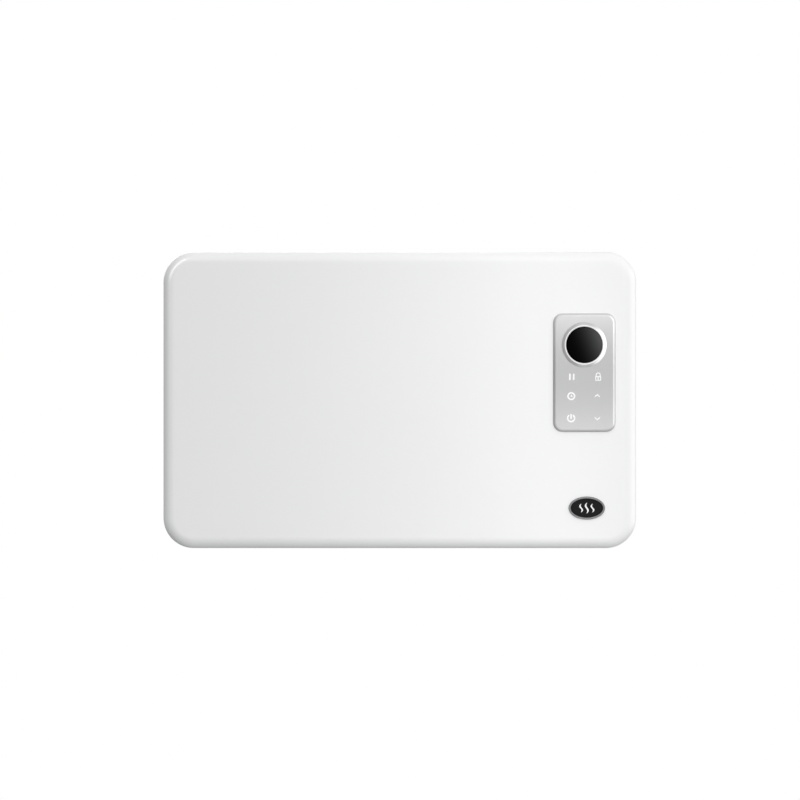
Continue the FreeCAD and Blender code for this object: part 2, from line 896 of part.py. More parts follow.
def partition_plate():
    """The wall between the hot side and the electronics."""
    top = partition_top()
    plate = angle_plate(partition_x, -1, y_inside + partition_play, -top, top, partition_sheet)
    cuts = [rod(partition_x + overrun, y_element, leg_mid_z, left,
                grommet_bore + grommet_wall + grommet_play, partition_sheet + 2 * overrun),
            rod(partition_x + overrun, y_element, cutout_z(), left, cutout_cap_radius + cutout_play,
                partition_sheet + 2 * overrun)]
    for side in (-1, 1):
        cuts.append(rod(partition_x + overrun, y_element, cutout_z() + side * cutout_flange_pitch / 2,
                        left, screw_radius + thread_play, partition_sheet + 2 * overrun))
    for share in foot_screw_shares:
        cuts.append(rod(partition_x - foot_width / 2, y_floor + overrun, share * 2 * top, front,
                        screw_radius + thread_play, partition_sheet + 2 * overrun))
    return plate.cut(cuts)


def wire_grommet():
    """Rubber ring in the partition, a lip on each side of the sheet."""
    length = partition_sheet + 2 * grommet_play + 2 * grommet_lip_height
    x0 = partition_x + grommet_play + grommet_lip_height
    neck = grommet_bore + grommet_wall
    body = rod(x0, y_element, leg_mid_z, left, neck + grommet_lip, length)
    groove = ring(partition_x + grommet_play, y_element, leg_mid_z, left, neck + grommet_lip, neck,
                  partition_sheet + 2 * grommet_play)
    bore = rod(x0, y_element, leg_mid_z, left, grommet_bore, length)
    return body.cut([groove, bore])


def element_bracket(x, side):
    """A folded plate that carries both legs of the element in bushes."""
    low, high = bracket_span()
    plate = angle_plate(x, side, y_element - bracket_reach, low, high, bracket_sheet)
    cuts = [rod(x - side * overrun, y_element, z, right * side, bush_radius + bush_play,
                bracket_sheet + 2 * overrun) for z in (leg_low_z, leg_high_z)]
    for way in (-1, 1):
        z = (low + high) / 2 + way * bracket_screw_share * (high - low)
        cuts.append(rod(x + side * foot_width / 2, y_floor + overrun, z, front,
                        screw_radius + thread_play, bracket_sheet + 2 * overrun))
    return plate.cut(cuts)


def element_bracket_left():
    return element_bracket(left_web_x, 1)


def element_bracket_right():
    return element_bracket(right_web_x, -1)


def element_core():
    """The hairpin: two straight legs and the bend between them."""
    x0 = right_web_x + core_stub
    x1 = left_web_x - leg_overhang
    path = Part.Wire([
        Part.makeLine(Vector(x0, y_element, leg_low_z), Vector(x1, y_element, leg_low_z)),
        Part.Arc(Vector(x1, y_element, leg_low_z), Vector(x1 - leg_pitch / 2, y_element, leg_mid_z),
                 Vector(x1, y_element, leg_high_z)).toShape(),
        Part.makeLine(Vector(x1, y_element, leg_high_z), Vector(x0, y_element, leg_high_z))])
    section = Part.Wire(Part.makeCircle(core_radius, Vector(x0, y_element, leg_low_z), left))
    return path.makePipeShell([section], True, False)


def element_fins(z):
    """An extrusion with four wings round its bore, slit across at even steps."""
    x0 = left_web_x + bracket_sheet + bush_flange + fin_end_gap
    x1 = right_web_x - bracket_sheet - bush_flange - fin_end_gap
    hub = rod(x0, y_element, z, right, hub_radius, x1 - x0)
    wing = block(x0, x1, y_element - fin_sheet / 2, y_element + fin_sheet / 2, z - fin_reach,
                 z + fin_reach)
    wings = [wing.rotated(Vector(0, y_element, z), right, turn) for turn in (-fin_angle, fin_angle)]
    slit = block(x0, x0 + fin_slit, y_element - fin_reach, y_element + fin_reach, z - fin_reach,
                 z + fin_reach).cut(rod(x0, y_element, z, right, hub_radius, fin_slit))
    count = int((x1 - x0) / fin_slit_pitch)
    step = (x1 - x0) / (count + 1)
    slits = [slit.translated(right * (step * (i + 1) - fin_slit / 2)) for i in range(count)]
    bore = rod(x0, y_element, z, right, core_radius + core_play, x1 - x0)
    return hub.fuse(wings).cut(slits + [bore]).removeSplitter()


def element_fins_lower():
    return element_fins(leg_low_z)


def element_fins_upper():
    return element_fins(leg_high_z)


def element_bushes():
    """Ceramic bushes in the brackets, their flanges towards the fins."""
    solids = []
    for x, side in ((left_web_x + bracket_sheet, 1), (right_web_x - bracket_sheet, -1)):
        tail = bracket_sheet + bush_tail
        for z in (leg_low_z, leg_high_z):
            flange = rod(x, y_element, z, right * side, bush_flange_radius, bush_flange)
            spigot = rod(x - side * tail, y_element, z, right * side, bush_radius, tail)
            bore = rod(x - side * tail, y_element, z, right * side, core_radius + bush_play,
                       tail + bush_flange)
            solids.append(flange.fuse(spigot).cut(bore).removeSplitter())
    return Part.makeCompound(solids)


def element_terminal_pins():
    """Pins at the right ends of the two legs."""
    return Part.makeCompound([rod(right_web_x + core_stub, y_element, z, right, pin_radius, pin_length)
                              for z in (leg_low_z, leg_high_z)])


def element_end_seals():
    """Insulating beads round the pins, against the ends of the core."""
    return Part.makeCompound([ring(right_web_x + core_stub, y_element, z, right, seal_radius,
                                   pin_radius + core_play, seal_length)
                              for z in (leg_low_z, leg_high_z)])


def heat_reflector():
    """A bright plate with folded sides that stands on the back panel behind the element."""
    x0, x1, z0, z1 = reflector_span()
    inner0, inner1 = x0 + reflector_foot + reflector_sheet, x1 - reflector_foot - reflector_sheet
    outer0, outer1 = x0 + reflector_foot, x1 - reflector_foot
    y_plate, y_foot = y_reflector - reflector_sheet, y_floor - reflector_sheet
    corners = [(x0, y_floor), (inner0, y_floor), (inner0, y_reflector), (inner1, y_reflector),
               (inner1, y_floor), (x1, y_floor), (x1, y_foot), (outer1, y_foot),
               (outer1, y_plate), (outer0, y_plate), (outer0, y_foot), (x0, y_foot)]
    wide = fold_radius + reflector_sheet
    radii = [wide, fold_radius, fold_radius, wide, 0, 0, fold_radius, wide, wide, fold_radius, 0]
    plate = profile([Vector(x, y, z0) for x, y in corners], radii).extrude(up * (z1 - z0))
    holes = []
    for x in (x0 + reflector_foot / 2, x1 - reflector_foot / 2):
        for side in (-1, 1):
            z = (z0 + z1) / 2 + side * reflector_screw_share * (z1 - z0)
            holes.append(rod(x, y_floor + overrun, z, front, screw_radius + thread_play,
                             reflector_sheet + 2 * overrun))
    return plate.cut(holes)


# Thermal cut-out

def cutout_z():
    """The cut-out sits above the upper leg."""
    return leg_high_z + cutout_lift


def thermal_cutout():
    """A snap-disc cut-out: its cap in the hot side, its flange and body in the cool side."""
    z = cutout_z()
    half = cutout_flange_pitch / 2
    x1 = partition_x + cutout_flange_sheet
    cap = rod(x1, y_element, z, left, cutout_cap_radius,
              cutout_flange_sheet + partition_sheet + cutout_cap_length)
    flange = long_hole(Vector(partition_x, y_element, z - half), Vector(partition_x, y_element, z + half),
                       cutout_flange_radius, right, cutout_flange_sheet)
    body = rod(x1, y_element, z, right, cutout_body_radius, cutout_body_length)
    holes = [rod(partition_x, y_element, z + side * half, right, screw_radius + screw_hole_play,
                 cutout_flange_sheet) for side in (-1, 1)]
    return cap.fuse([flange, body]).cut(holes).removeSplitter()


def cutout_tabs():
    """Two flat tabs on the cut-out."""
    x0 = partition_x + cutout_flange_sheet + cutout_body_length
    return Part.makeCompound([
        block(x0, x0 + tab_length, y_element - tab_width / 2, y_element + tab_width / 2,
              cutout_z() + side * tab_pitch / 2 - tab_sheet / 2,
              cutout_z() + side * tab_pitch / 2 + tab_sheet / 2) for side in (-1, 1)])


def cutout_screws():
    """Two screws through the cut-out's flange into the partition."""
    turn = FreeCAD.Rotation(up, -90)
    screw = screw_at(0, 0, 0, cutout_screw_length)
    screw.Placement = FreeCAD.Placement(Vector(0, 0, 0), turn)
    x = partition_x + cutout_flange_sheet
    return Part.makeCompound([
        screw.translated(Vector(x, y_element, cutout_z() + side * cutout_flange_pitch / 2))
        for side in (-1, 1)])


# Electronics

def board_standoffs():
    """Bored standoffs between the back panel and the power board."""
    return Part.makeCompound([ring(x, y_floor, z, front, standoff_radius, screw_radius + thread_play,
                                   standoff_height) for x, z in standoff_places()])


def power_board():
    """The board that switches the element."""
    board = block(board_left, board_left + power_board_width, y_components, y_power_board,
                  board_bottom, board_bottom + power_board_height)
    holes = [rod(x, y_power_board, z, front, screw_radius + screw_hole_play, board_sheet)
             for x, z in standoff_places()]
    return board.cut(holes)


def board_screws():
    """Screws from the front through the power board into the standoffs."""
    length = board_sheet + standoff_height * standoff_thread_share
    screw = screw_at(0, 0, 0, length)
    screw.Placement = FreeCAD.Placement(Vector(0, 0, 0), FreeCAD.Rotation(up, 180))
    return Part.makeCompound([screw.translated(Vector(x, y_components, z))
                              for x, z in standoff_places()])


def relays():
    """Two relays, one above the other."""
    return Part.makeCompound([
        standing_on(*on_board((relay_across_share, share)), relay_width, relay_height, relay_depth)
        for share in relay_up_shares])


def transformer():
    """The small supply transformer, a coil on a core."""
    x, z = on_board(transformer_shares)
    core = standing_on(x, z, transformer_width, transformer_height / 2, transformer_depth)
    coil = standing_on(x, z, transformer_width / 2, transformer_height, transformer_depth * 3 / 4)
    return core.fuse(coil).removeSplitter()


def film_capacitor():
    """Suppression capacitor across the mains."""
    x, z = on_board(film_capacitor_shares)
    return standing_on(x, z, film_capacitor_width, film_capacitor_height, film_capacitor_depth)


def smoothing_capacitor():
    """Round capacitor can."""
    x, z = on_board(can_shares)
    return rod(x, y_components, z, front, can_radius, can_length)


def buzzer():
    """Round key sounder with a hole in its top."""
    x, z = on_board(buzzer_shares)
    hole = rod(x, y_components - buzzer_height, z, back, screw_radius, buzzer_height / 2)
    return rod(x, y_components, z, front, buzzer_radius, buzzer_height).cut(hole)


def mains_terminal_block():
    """Terminal block for the supply and the switch, with a screw pocket for each way."""
    x, z = on_board(mains_block_shares)
    body = standing_on(x, z, mains_block_width, mains_block_height, mains_block_depth)
    return body.cut(screw_pockets(x, z + mains_block_height / 4, mains_block_depth,
                                  right * (mains_block_width / 3)))


def output_terminal_block():
    """Terminal block for the element leads."""
    x, z = output_block_place()
    body = standing_on(x, z, output_block_width, output_block_height, output_block_depth)
    return body.cut(screw_pockets(x + output_block_width / 4, z, output_block_depth,
                                  up * (output_block_height / 3)))


def screw_pockets(x, z, depth, step):
    """Three pockets in a row in the front of a terminal block, beside where the leads enter."""
    pockets = []
    for count in (-1, 0, 1):
        place = Vector(x, y_components - depth, z) + step * count
        pockets.append(rod(place.x, place.y, place.z, back, screw_radius, depth / 2))
    return pockets


def ribbon_socket():
    """Socket for the display ribbon."""
    x, z = ribbon_socket_place()
    return standing_on(x, z, plug_width, plug_height, plug_depth)


def sensor_socket():
    """Socket for the room sensor's lead."""
    x, z = on_board(sensor_socket_shares)
    return standing_on(x, z, sensor_socket_width, plug_height, plug_depth)


# Mains switch

def mains_switch_body():
    """The switch housing: a flange outside the panel, a body inside, a pocket for the rocker."""
    half_z, half_y = switch_length / 2, switch_width / 2
    flange = block(switch_x, switch_x + switch_flange, switch_y - half_y, switch_y + half_y,
                   switch_z - half_z, switch_z + half_z)
    flange = flange.makeFillet(switch_flange / 2, edges_along(flange, right))
    half_z, half_y = half_z - switch_flange_margin, half_y - switch_flange_margin
    body = block(switch_x - switch_depth, switch_x, switch_y - half_y, switch_y + half_y,
                 switch_z - half_z, switch_z + half_z)
    half_z, half_y = rocker_radius + rocker_play, rocker_width / 2 + rocker_play
    pocket = block(pivot_x - rocker_radius - rocker_play, switch_x + switch_flange + overrun,
                   switch_y - half_y, switch_y + half_y, switch_z - half_z, switch_z + half_z)
    pivots = rod(pivot_x, switch_y - switch_width / 2 + switch_flange_margin, switch_z, back,
                 pivot_radius + pivot_play, switch_width - 2 * switch_flange_margin)
    return flange.fuse(body).cut([pocket, pivots]).removeSplitter()


def mains_switch_rocker():
    """The rocker at rest, switched off: a shallow V on two pivots, turned to one side."""
    y0 = switch_y - rocker_width / 2
    drum = rod(pivot_x, y0, switch_z, back, rocker_radius, rocker_width)
    far = 2 * rocker_radius
    slope = far * math.tan(math.radians(rocker_tilt))
    keep = Part.Face(Part.makePolygon([
        Vector(pivot_x - rocker_root, y0, switch_z - far),
        Vector(pivot_x + rocker_rise + slope, y0, switch_z - far),
        Vector(pivot_x + rocker_rise, y0, switch_z),
        Vector(pivot_x + rocker_rise + slope, y0, switch_z + far),
        Vector(pivot_x - rocker_root, y0, switch_z + far),
        Vector(pivot_x - rocker_root, y0, switch_z - far)])).extrude(back * rocker_width)
    reach = rocker_width / 2 + rocker_play + pivot_length
    pivots = rod(pivot_x, switch_y - reach, switch_z, back, pivot_radius, 2 * reach)
    solid = drum.common(keep).fuse(pivots).removeSplitter()
    return solid.rotated(Vector(pivot_x, switch_y, switch_z), back, rocker_tilt)


def switch_terminals():
    """Two flat tabs on the inner end of the switch."""
    x1 = switch_x - switch_depth
    return Part.makeCompound([
        block(x1 - tab_length, x1, switch_y - tab_width / 2, switch_y + tab_width / 2,
              switch_z + side * tab_pitch / 2 - tab_sheet / 2,
              switch_z + side * tab_pitch / 2 + tab_sheet / 2) for side in (-1, 1)])


# Cable entry, room sensor and earth

def gland_x():
    """Place of the gland along the bottom."""
    return body_width / 2 - gland_side_margin


def sensor_x():
    """Place of the room sensor along the bottom, clear of the back panel's rounded corner."""
    straight_end = pan_half_width - (corner_radius - pan_inset)
    return straight_end - sensor_holder_width / 2 - sensor_corner_gap


def cable_gland():
    """The gland: a round head below the panel, a threaded tail inside it, bored for the cable."""
    head = rod(gland_x(), switch_y, -pan_half_height, down, gland_radius, gland_head)
    low = [e for e in head.Edges if e.BoundBox.ZMax < -pan_half_height - gland_head / 2]
    head = head.makeFillet(gland_edge, low)
    tail = rod(gland_x(), switch_y, -pan_half_height, up, gland_thread_radius, pan_sheet + gland_tail)
    bore = rod(gland_x(), switch_y, -pan_half_height - gland_head, up, gland_bore_radius,
               gland_head + pan_sheet + gland_tail)
    return head.fuse(tail).cut(bore).removeSplitter()


def cable_gland_nut():
    """Lock nut on the gland's tail, against the inside of the back panel."""
    return hex_nut(gland_x(), switch_y, pan_bottom, up, nut_radius, gland_thread_radius + thread_play,
                   nut_height)


def room_sensor():
    """A small sensor bulb that reaches through the bottom of the back panel."""
    z0 = -pan_half_height - sensor_drop
    bulb = Part.makeSphere(sensor_radius, Vector(sensor_x(), switch_y, z0 + sensor_radius))
    stem = rod(sensor_x(), switch_y, z0 + sensor_radius, up, sensor_radius,
               pan_bottom + sensor_holder_height - z0 - sensor_radius)
    return bulb.fuse(stem).removeSplitter()


def sensor_holder():
    """Block inside the back panel that holds the sensor."""
    body = block(sensor_x() - sensor_holder_width / 2, sensor_x() + sensor_holder_width / 2,
                 switch_y - sensor_holder_depth / 2, switch_y + sensor_holder_depth / 2,
                 pan_bottom, pan_bottom + sensor_holder_height)
    return body.cut(rod(sensor_x(), switch_y, pan_bottom, up, sensor_radius + sensor_play,
                        sensor_holder_height))


def earth_place():
    """Place of the earth stud on the back panel."""
    return partition_x + earth_side_gap, pan_bottom + earth_lift


def earth_stud():
    """Stud on the inside of the back panel."""
    x, z = earth_place()
    return rod(x, y_floor, z, front, earth_radius, earth_length)


def earth_nut():
    """Nut on the earth stud."""
    x, z = earth_place()
    return hex_nut(x, y_floor, z, front, earth_nut_radius, earth_radius + thread_play, earth_nut_height)


# Wiring

def element_leads():
    """Two leads from the element's pins, through the grommet, to the output terminals."""
    x_block, z_block = output_block_place()
    x_pin = right_web_x + core_stub + pin_length
    x_turn = (x_pin + partition_x) / 2
    x_end = x_block - output_block_width / 4
    solids = []
    for z_leg, side in ((leg_low_z, -1), (leg_high_z, 1)):
        z_run = z_block + side * lead_spread / 2
        points = [Vector(x_pin, y_element, z_leg), Vector(x_turn, y_element, z_leg),
                  Vector(x_turn, y_element, z_run), Vector(x_end, y_element, z_run),
                  Vector(x_end, y_components - output_block_depth, z_run)]
        solids.append(wire(points, lead_radius, lead_bend))
    return Part.makeCompound(solids)


def cutout_leads():
    """Two leads from the cut-out's tabs down to the power board, above the output terminals."""
    x_tab = partition_x + cutout_flange_sheet + cutout_body_length + tab_length
    z_end = leg_mid_z + output_block_height / 2 + 2 * lead_bend
    solids = []
    for side in (-1, 1):
        x_run = x_tab + 2 * lead_bend + (side + 1) * lead_spread / 2
        z_tab = cutout_z() + side * tab_pitch / 2
        points = [Vector(x_tab, y_element, z_tab), Vector(x_run, y_element, z_tab),
                  Vector(x_run, y_element, z_end), Vector(x_run, y_components, z_end)]
        solids.append(wire(points, lead_radius, lead_bend))
    return Part.makeCompound(solids)


def switch_leads():
    """Two leads from the switch down to the mains terminals."""
    x_block, z_block = on_board(mains_block_shares)
    z_end = z_block - mains_block_height / 4
    y_run = y_components - transformer_depth - lead_bend
    x_tab = switch_x - switch_depth - tab_length
    solids = []
    for side in (-1, 1):
        x_end = x_block + mains_block_width / 2 - lead_bend + side * lead_spread / 2
        z_tab = switch_z + side * tab_pitch / 2
        points = [Vector(x_tab, switch_y, z_tab), Vector(x_end, switch_y, z_tab),
                  Vector(x_end, y_run, z_tab), Vector(x_end, y_run, z_end),
                  Vector(x_end, y_components - mains_block_depth, z_end)]
        solids.append(wire(points, lead_radius, lead_bend))
    return Part.makeCompound(solids)


def sensor_lead():
    """Lead from the room sensor to its socket on the board."""
    x_end, z_end = on_board(sensor_socket_shares)
    y_top = y_components - plug_depth
    z_top = pan_bottom + sensor_holder_height
    points = [Vector(sensor_x(), switch_y, z_top), Vector(sensor_x(), switch_y, board_bottom - lead_bend),
              Vector(sensor_x(), y_top - 2 * lead_bend, board_bottom - lead_bend),
              Vector(x_end, y_top - 2 * lead_bend, z_end), Vector(x_end, y_top, z_end)]
    return wire(points, sensor_lead_radius, lead_bend / 2)


def display_ribbon():
    """Flat ribbon from the display board's plug down to the power board's socket."""
    x, z_end = ribbon_socket_place()
    y_start = y_display_board + board_sheet + plug_depth
    y_end = y_components - plug_depth
    y_run = (y_box_cover + box_cover_sheet + y_end) / 2
    half = ribbon_sheet / 2
    corners = [(y_start, ribbon_z() + half), (y_start, ribbon_z() - half),
               (y_run - half, ribbon_z() - half), (y_run - half, z_end - half), (y_end, z_end - half),
               (y_end, z_end + half), (y_run + half, z_end + half), (y_run + half, ribbon_z() + half)]
    radii = [0, ribbon_bend, ribbon_bend + ribbon_sheet, 0, 0, ribbon_bend, ribbon_bend + ribbon_sheet]
    x0 = x - ribbon_width / 2
    return profile([Vector(x0, y, z) for y, z in corners], radii).extrude(right * ribbon_width)


pieces = {
    "wall_bracket": wall_bracket,
    "front_cover": front_cover,
    "back_panel": back_panel,
    "casing_screws": casing_screws,
    "chassis_screws": chassis_screws,
    "wall_spacers": wall_spacers,
    "spacer_screws": spacer_screws,
    "control_fascia": control_fascia,
    "display_ring": display_ring,
    "display_lens": display_lens,
    "display_board": display_board,
    "display_board_screws": display_board_screws,
    "display_module": display_module,
    "touch_posts": touch_posts,
    "ribbon_plug": ribbon_plug,
    "control_box_cover": control_box_cover,
    "badge_rim": badge_rim_plate,
    "badge_face": badge_face,
    "partition_plate": partition_plate,
    "wire_grommet": wire_grommet,
    "element_bracket_left": element_bracket_left,
    "element_bracket_right": element_bracket_right,
    "element_core": element_core,
    "element_fins_lower": element_fins_lower,
    "element_fins_upper": element_fins_upper,
    "element_bushes": element_bushes,
    "element_terminal_pins": element_terminal_pins,
    "element_end_seals": element_end_seals,
    "heat_reflector": heat_reflector,
    "thermal_cutout": thermal_cutout,
    "cutout_tabs": cutout_tabs,
    "cutout_screws": cutout_screws,
    "board_standoffs": board_standoffs,
    "power_board": power_board,
    "board_screws": board_screws,
    "relays": relays,
    "transformer": transformer,
    "film_capacitor": film_capacitor,
    "smoothing_capacitor": smoothing_capacitor,
    "buzzer": buzzer,
    "mains_terminal_block": mains_terminal_block,
    "output_terminal_block": output_terminal_block,
    "ribbon_socket": ribbon_socket,
    "sensor_socket": sensor_socket,
    "mains_switch_body": mains_switch_body,
    "mains_switch_rocker": mains_switch_rocker,
    "switch_terminals": switch_terminals,
    "cable_gland": cable_gland,
    "cable_gland_nut": cable_gland_nut,
    "room_sensor": room_sensor,
    "sensor_holder": sensor_holder,
    "earth_stud": earth_stud,
    "earth_nut": earth_nut,
    "element_leads": element_leads,
    "cutout_leads": cutout_leads,
    "switch_leads": switch_leads,
    "sensor_lead": sensor_lead,
    "display_ribbon": display_ribbon,
}

if __name__ == "__main__":
    os.makedirs("parts", exist_ok=True)
    for name, make in pieces.items():
        make().translated(Vector(0, 0, -z_rail)).exportStep(f"parts/{name}.step")
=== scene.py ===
import math

import bmesh
import bpy
from mathutils import Matrix, Vector
from mathutils.bvhtree import BVHTree


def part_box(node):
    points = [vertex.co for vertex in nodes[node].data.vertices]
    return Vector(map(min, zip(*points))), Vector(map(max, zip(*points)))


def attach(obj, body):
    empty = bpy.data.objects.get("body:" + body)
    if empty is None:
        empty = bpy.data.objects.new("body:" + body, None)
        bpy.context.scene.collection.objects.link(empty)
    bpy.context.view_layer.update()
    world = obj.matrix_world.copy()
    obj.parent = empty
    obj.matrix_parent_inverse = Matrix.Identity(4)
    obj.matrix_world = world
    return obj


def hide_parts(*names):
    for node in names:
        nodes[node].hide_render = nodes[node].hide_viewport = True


# Panel heater, wall hung, in metres: the front faces -Y, +X is to its right, and the wall is at Y = 0.
# The sections follow the order of assembly, from the bracket on the wall to the cover and its controls.
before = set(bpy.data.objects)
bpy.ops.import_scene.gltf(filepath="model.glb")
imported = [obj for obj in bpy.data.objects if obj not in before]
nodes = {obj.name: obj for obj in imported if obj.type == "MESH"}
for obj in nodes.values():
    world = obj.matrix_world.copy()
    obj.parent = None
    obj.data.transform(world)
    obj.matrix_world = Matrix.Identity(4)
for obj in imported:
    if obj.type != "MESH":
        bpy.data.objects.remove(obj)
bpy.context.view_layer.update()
scene = bpy.context.scene
mm = 0.001
rightwards, backwards, upwards = Vector((1, 0, 0)), Vector((0, 1, 0)), Vector((0, 0, 1))


# Wall bracket
# A strip of zinc plated steel, cut and folded in a press, with two hooks bent out of it. Four screws
# hold it to the wall, and it carries the heater. Zinc shows flat crystals and faint rolling lines.

def working(operation, reflected=False):
    """An operator that adds a Math node for one operation, with its two values in either order."""
    def work(self, other):
        first, second = (other, self) if reflected else (self, other)
        return self.owner.node("ShaderNodeMath", {0: first, 1: second}, operation=operation)
    return work


class Value:
    """One output of a node. Sums of values add the Math nodes that work them out."""

    __add__, __radd__ = working("ADD"), working("ADD", True)
    __sub__, __rsub__ = working("SUBTRACT"), working("SUBTRACT", True)
    __mul__, __rmul__ = working("MULTIPLY"), working("MULTIPLY", True)
    __truediv__, __gt__ = working("DIVIDE"), working("GREATER_THAN")

    def __init__(self, owner, socket):
        self.owner, self.socket = owner, socket


class NodeTree:
    """Adds nodes to a tree and feeds their sockets with values or links. A colour may be one grey."""

    def node(self, kind, sockets=(), output=0, **settings):
        made = self.tree.nodes.new(kind)
        for name, value in settings.items():
            setattr(made, name, value)
        for name, value in dict(sockets).items():
            self.feed(made.inputs[name], value)
        return Value(self, made.outputs[output])

    def feed(self, socket, value):
        if isinstance(value, Value):
            self.tree.links.new(value.socket, socket)
        elif socket.type == "RGBA":
            socket.default_value = (*(value if isinstance(value, tuple) else 3 * (value,)), 1)
        else:
            socket.default_value = value

    def blend(self, share, first, second):
        """A colour between two others."""
        return self.node("ShaderNodeMix", {0: share, 6: first, 7: second}, 2, data_type="RGBA")


class Finish(NodeTree):
    """A material round one Principled shader. Its grains and depths are in millimetres."""

    def __init__(self, name, **uniform):
        self.material = bpy.data.materials.new(name)
        self.material.use_nodes = True
        self.tree = self.material.node_tree
        self.shader = self.tree.nodes["Principled BSDF"]
        self.place = self.node("ShaderNodeTexCoord", output="Object")
        self.set(**uniform)

    def set(self, **inputs):
        for name, value in inputs.items():
            self.feed(self.shader.inputs[name.replace("_", " ")], value)

    def scaled(self, grain, stretch=(1, 1, 1)):
        """Object coordinates in which one unit is the given grain."""
        return self.node("ShaderNodeMapping", {
            "Vector": self.place, "Scale": [share / (grain * mm) for share in stretch]}, "Vector")

    def noise(self, grain, stretch=(1, 1, 1), detail=3):
        """A soft random pattern with lumps of about the given size."""
        return self.node("ShaderNodeTexNoise", {
            "Vector": self.scaled(grain, stretch), "Scale": 1, "Detail": detail})

    def cells(self, grain):
        """Flat cells of about the given size, each of its own tone."""
        return self.node("ShaderNodeTexVoronoi", {
            "Vector": self.scaled(grain), "Scale": 1}, "Color")

    def axis(self, name):
        """One of the object's own coordinates, in metres."""
        return self.node("ShaderNodeSeparateXYZ", {"Vector": self.place}, name)

    def wave(self, pitch, direction):
        """Even lines across one axis. The node turns its wave by 20 radians in each unit."""
        return self.node("ShaderNodeTexWave", {
            "Vector": self.scaled(pitch * math.tau / 20), "Scale": 1}, "Fac", bands_direction=direction)

    def relief(self, height, depth):
        """The normal of a surface whose height from 0 to 1 stands for a depth."""
        return self.node("ShaderNodeBump", {"Height": height, "Distance": depth * mm}, "Normal")

    def follow(self, pattern, colours, rough, depth):
        """Lets colour, gloss and relief follow one pattern. The gloss is (least roughness, spread)."""
        self.set(Base_Color=self.blend(pattern, *colours), Roughness=rough[0] + rough[1] * pattern,
                 Normal=self.relief(pattern, depth))
        return self


def mottled(name, colours, grain, rough, relief=None, stretch=(1, 1, 1), **uniform):
    """A finish whose colour and gloss wander between two values. The relief is (grain, depth)."""
    made = Finish(name, **uniform)
    wander = made.noise(grain, stretch)
    made.set(Base_Color=made.blend(wander, *colours),
             Roughness=rough[0] + (rough[1] - rough[0]) * made.noise(grain / 3, stretch))
    if relief:
        made.set(Normal=made.relief(made.noise(relief[0], stretch), relief[1]))
    return made


def plated(name, colours, grain, rough):
    """Zinc on steel: crystals of slightly different tone and gloss, over fine lines from the rolls."""
    made = Finish(name, Metallic=1.0)
    line_width, line_depth, drawn_out = 1.2, 0.01, (0.02, 1, 1)
    tone = made.node("ShaderNodeSeparateColor", {"Color": made.cells(grain)}, "Red")
    lines = made.noise(line_width, drawn_out)
    made.set(Base_Color=made.blend(0.6 * tone + 0.4 * lines, *colours),
             Roughness=rough[0] + (rough[1] - rough[0]) * tone,
             Normal=made.relief(lines, line_depth))
    return made


def dress(finish, *names):
    """Gives nodes of the construction a finish."""
    for name in names:
        for slot in nodes[name].material_slots:
            slot.material = finish.material


zinc = plated("zinc_steel", ((0.46, 0.48, 0.50), (0.68, 0.69, 0.70)), 7, (0.28, 0.42))
dress(zinc, "wall_bracket")


# Back panel
# A shallow pan pressed from steel sheet, its rim turned out as a flange that is screwed to the cover.
# Vents and the two hook slots are punched, with rolled rims, and the whole pan is powder coated grey.

class Shape(NodeTree):
    """A geometry tree with named sizes. Growing it leaves a plain mesh."""

    def __init__(self, name, **sizes):
        self.tree = bpy.data.node_groups.new(name, "GeometryNodeTree")
        sides = self.tree.interface
        sides.new_socket(name="geometry", in_out="INPUT", socket_type="NodeSocketGeometry")
        for label, kind in sizes.items():
            sides.new_socket(name=label, in_out="INPUT", socket_type="NodeSocket" + kind)
        sides.new_socket(name="geometry", in_out="OUTPUT", socket_type="NodeSocketGeometry")
        self.given = self.tree.nodes.new("NodeGroupInput")

    def __getitem__(self, label):
        return Value(self, self.given.outputs[label])

    def thing(self, label):
        """The mesh of an object that was given as an input."""
        return self.node("GeometryNodeObjectInfo", {"Object": self[label]}, "Geometry")

    def copies(self, points, thing, **turns):
        """The mesh of a thing at each point, turned about its axes."""
        many = self.node("GeometryNodeInstanceOnPoints", {
            "Points": points, "Instance": thing, "Rotation": self.node("ShaderNodeCombineXYZ", turns)})
        return self.node("GeometryNodeRealizeInstances", {"Geometry": many})

    def ends_in(self, geometry):
        whole = self.node("GeometryNodeRealizeInstances", {"Geometry": geometry})
        coated = self.node("GeometryNodeSetMaterial", {
            "Geometry": whole, "Material": self["material"]})
        self.feed(self.tree.nodes.new("NodeGroupOutput").inputs[0], coated)

    def grow(self, piece, **sizes):
        tool = piece.modifiers.new("shape", "NODES")
        tool.node_group = self.tree
        for socket in self.tree.interface.items_tree:
            if socket.name in sizes:
                tool[socket.identifier] = sizes[socket.name]
        return settled(piece)


def settled(piece):
    """Turns what a piece's modifiers make into its plain mesh."""
    graph = bpy.context.evaluated_depsgraph_get()
    made = bpy.data.meshes.new_from_object(piece.evaluated_get(graph))
    piece.modifiers.clear()
    piece.data = made
    return piece


def placed(name, data):
    """A new object in the scene."""
    made = bpy.data.objects.new(name, data)
    scene.collection.objects.link(made)
    return made


def blank(name):
    """A new piece with nothing in it yet."""
    return placed(name, bpy.data.meshes.new(name))


def lofted(name, loops, closed=False):
    """A skin over loops of equally many points, its two ends capped, or joined if it is closed."""
    piece = blank(name)
    shell = bmesh.new()
    rows = [[shell.verts.new(point) for point in loop] for loop in loops]
    for one, two in zip(rows, rows[1:] + rows[:1] if closed else rows[1:]):
        for i in range(len(one)):
            shell.faces.new((one[i - 1], one[i], two[i], two[i - 1]))
    if not closed:
        shell.faces.new(rows[0])
        shell.faces.new(rows[-1])
    bmesh.ops.recalc_face_normals(shell, faces=shell.faces)
    shell.to_mesh(piece.data)
    shell.free()
    return piece


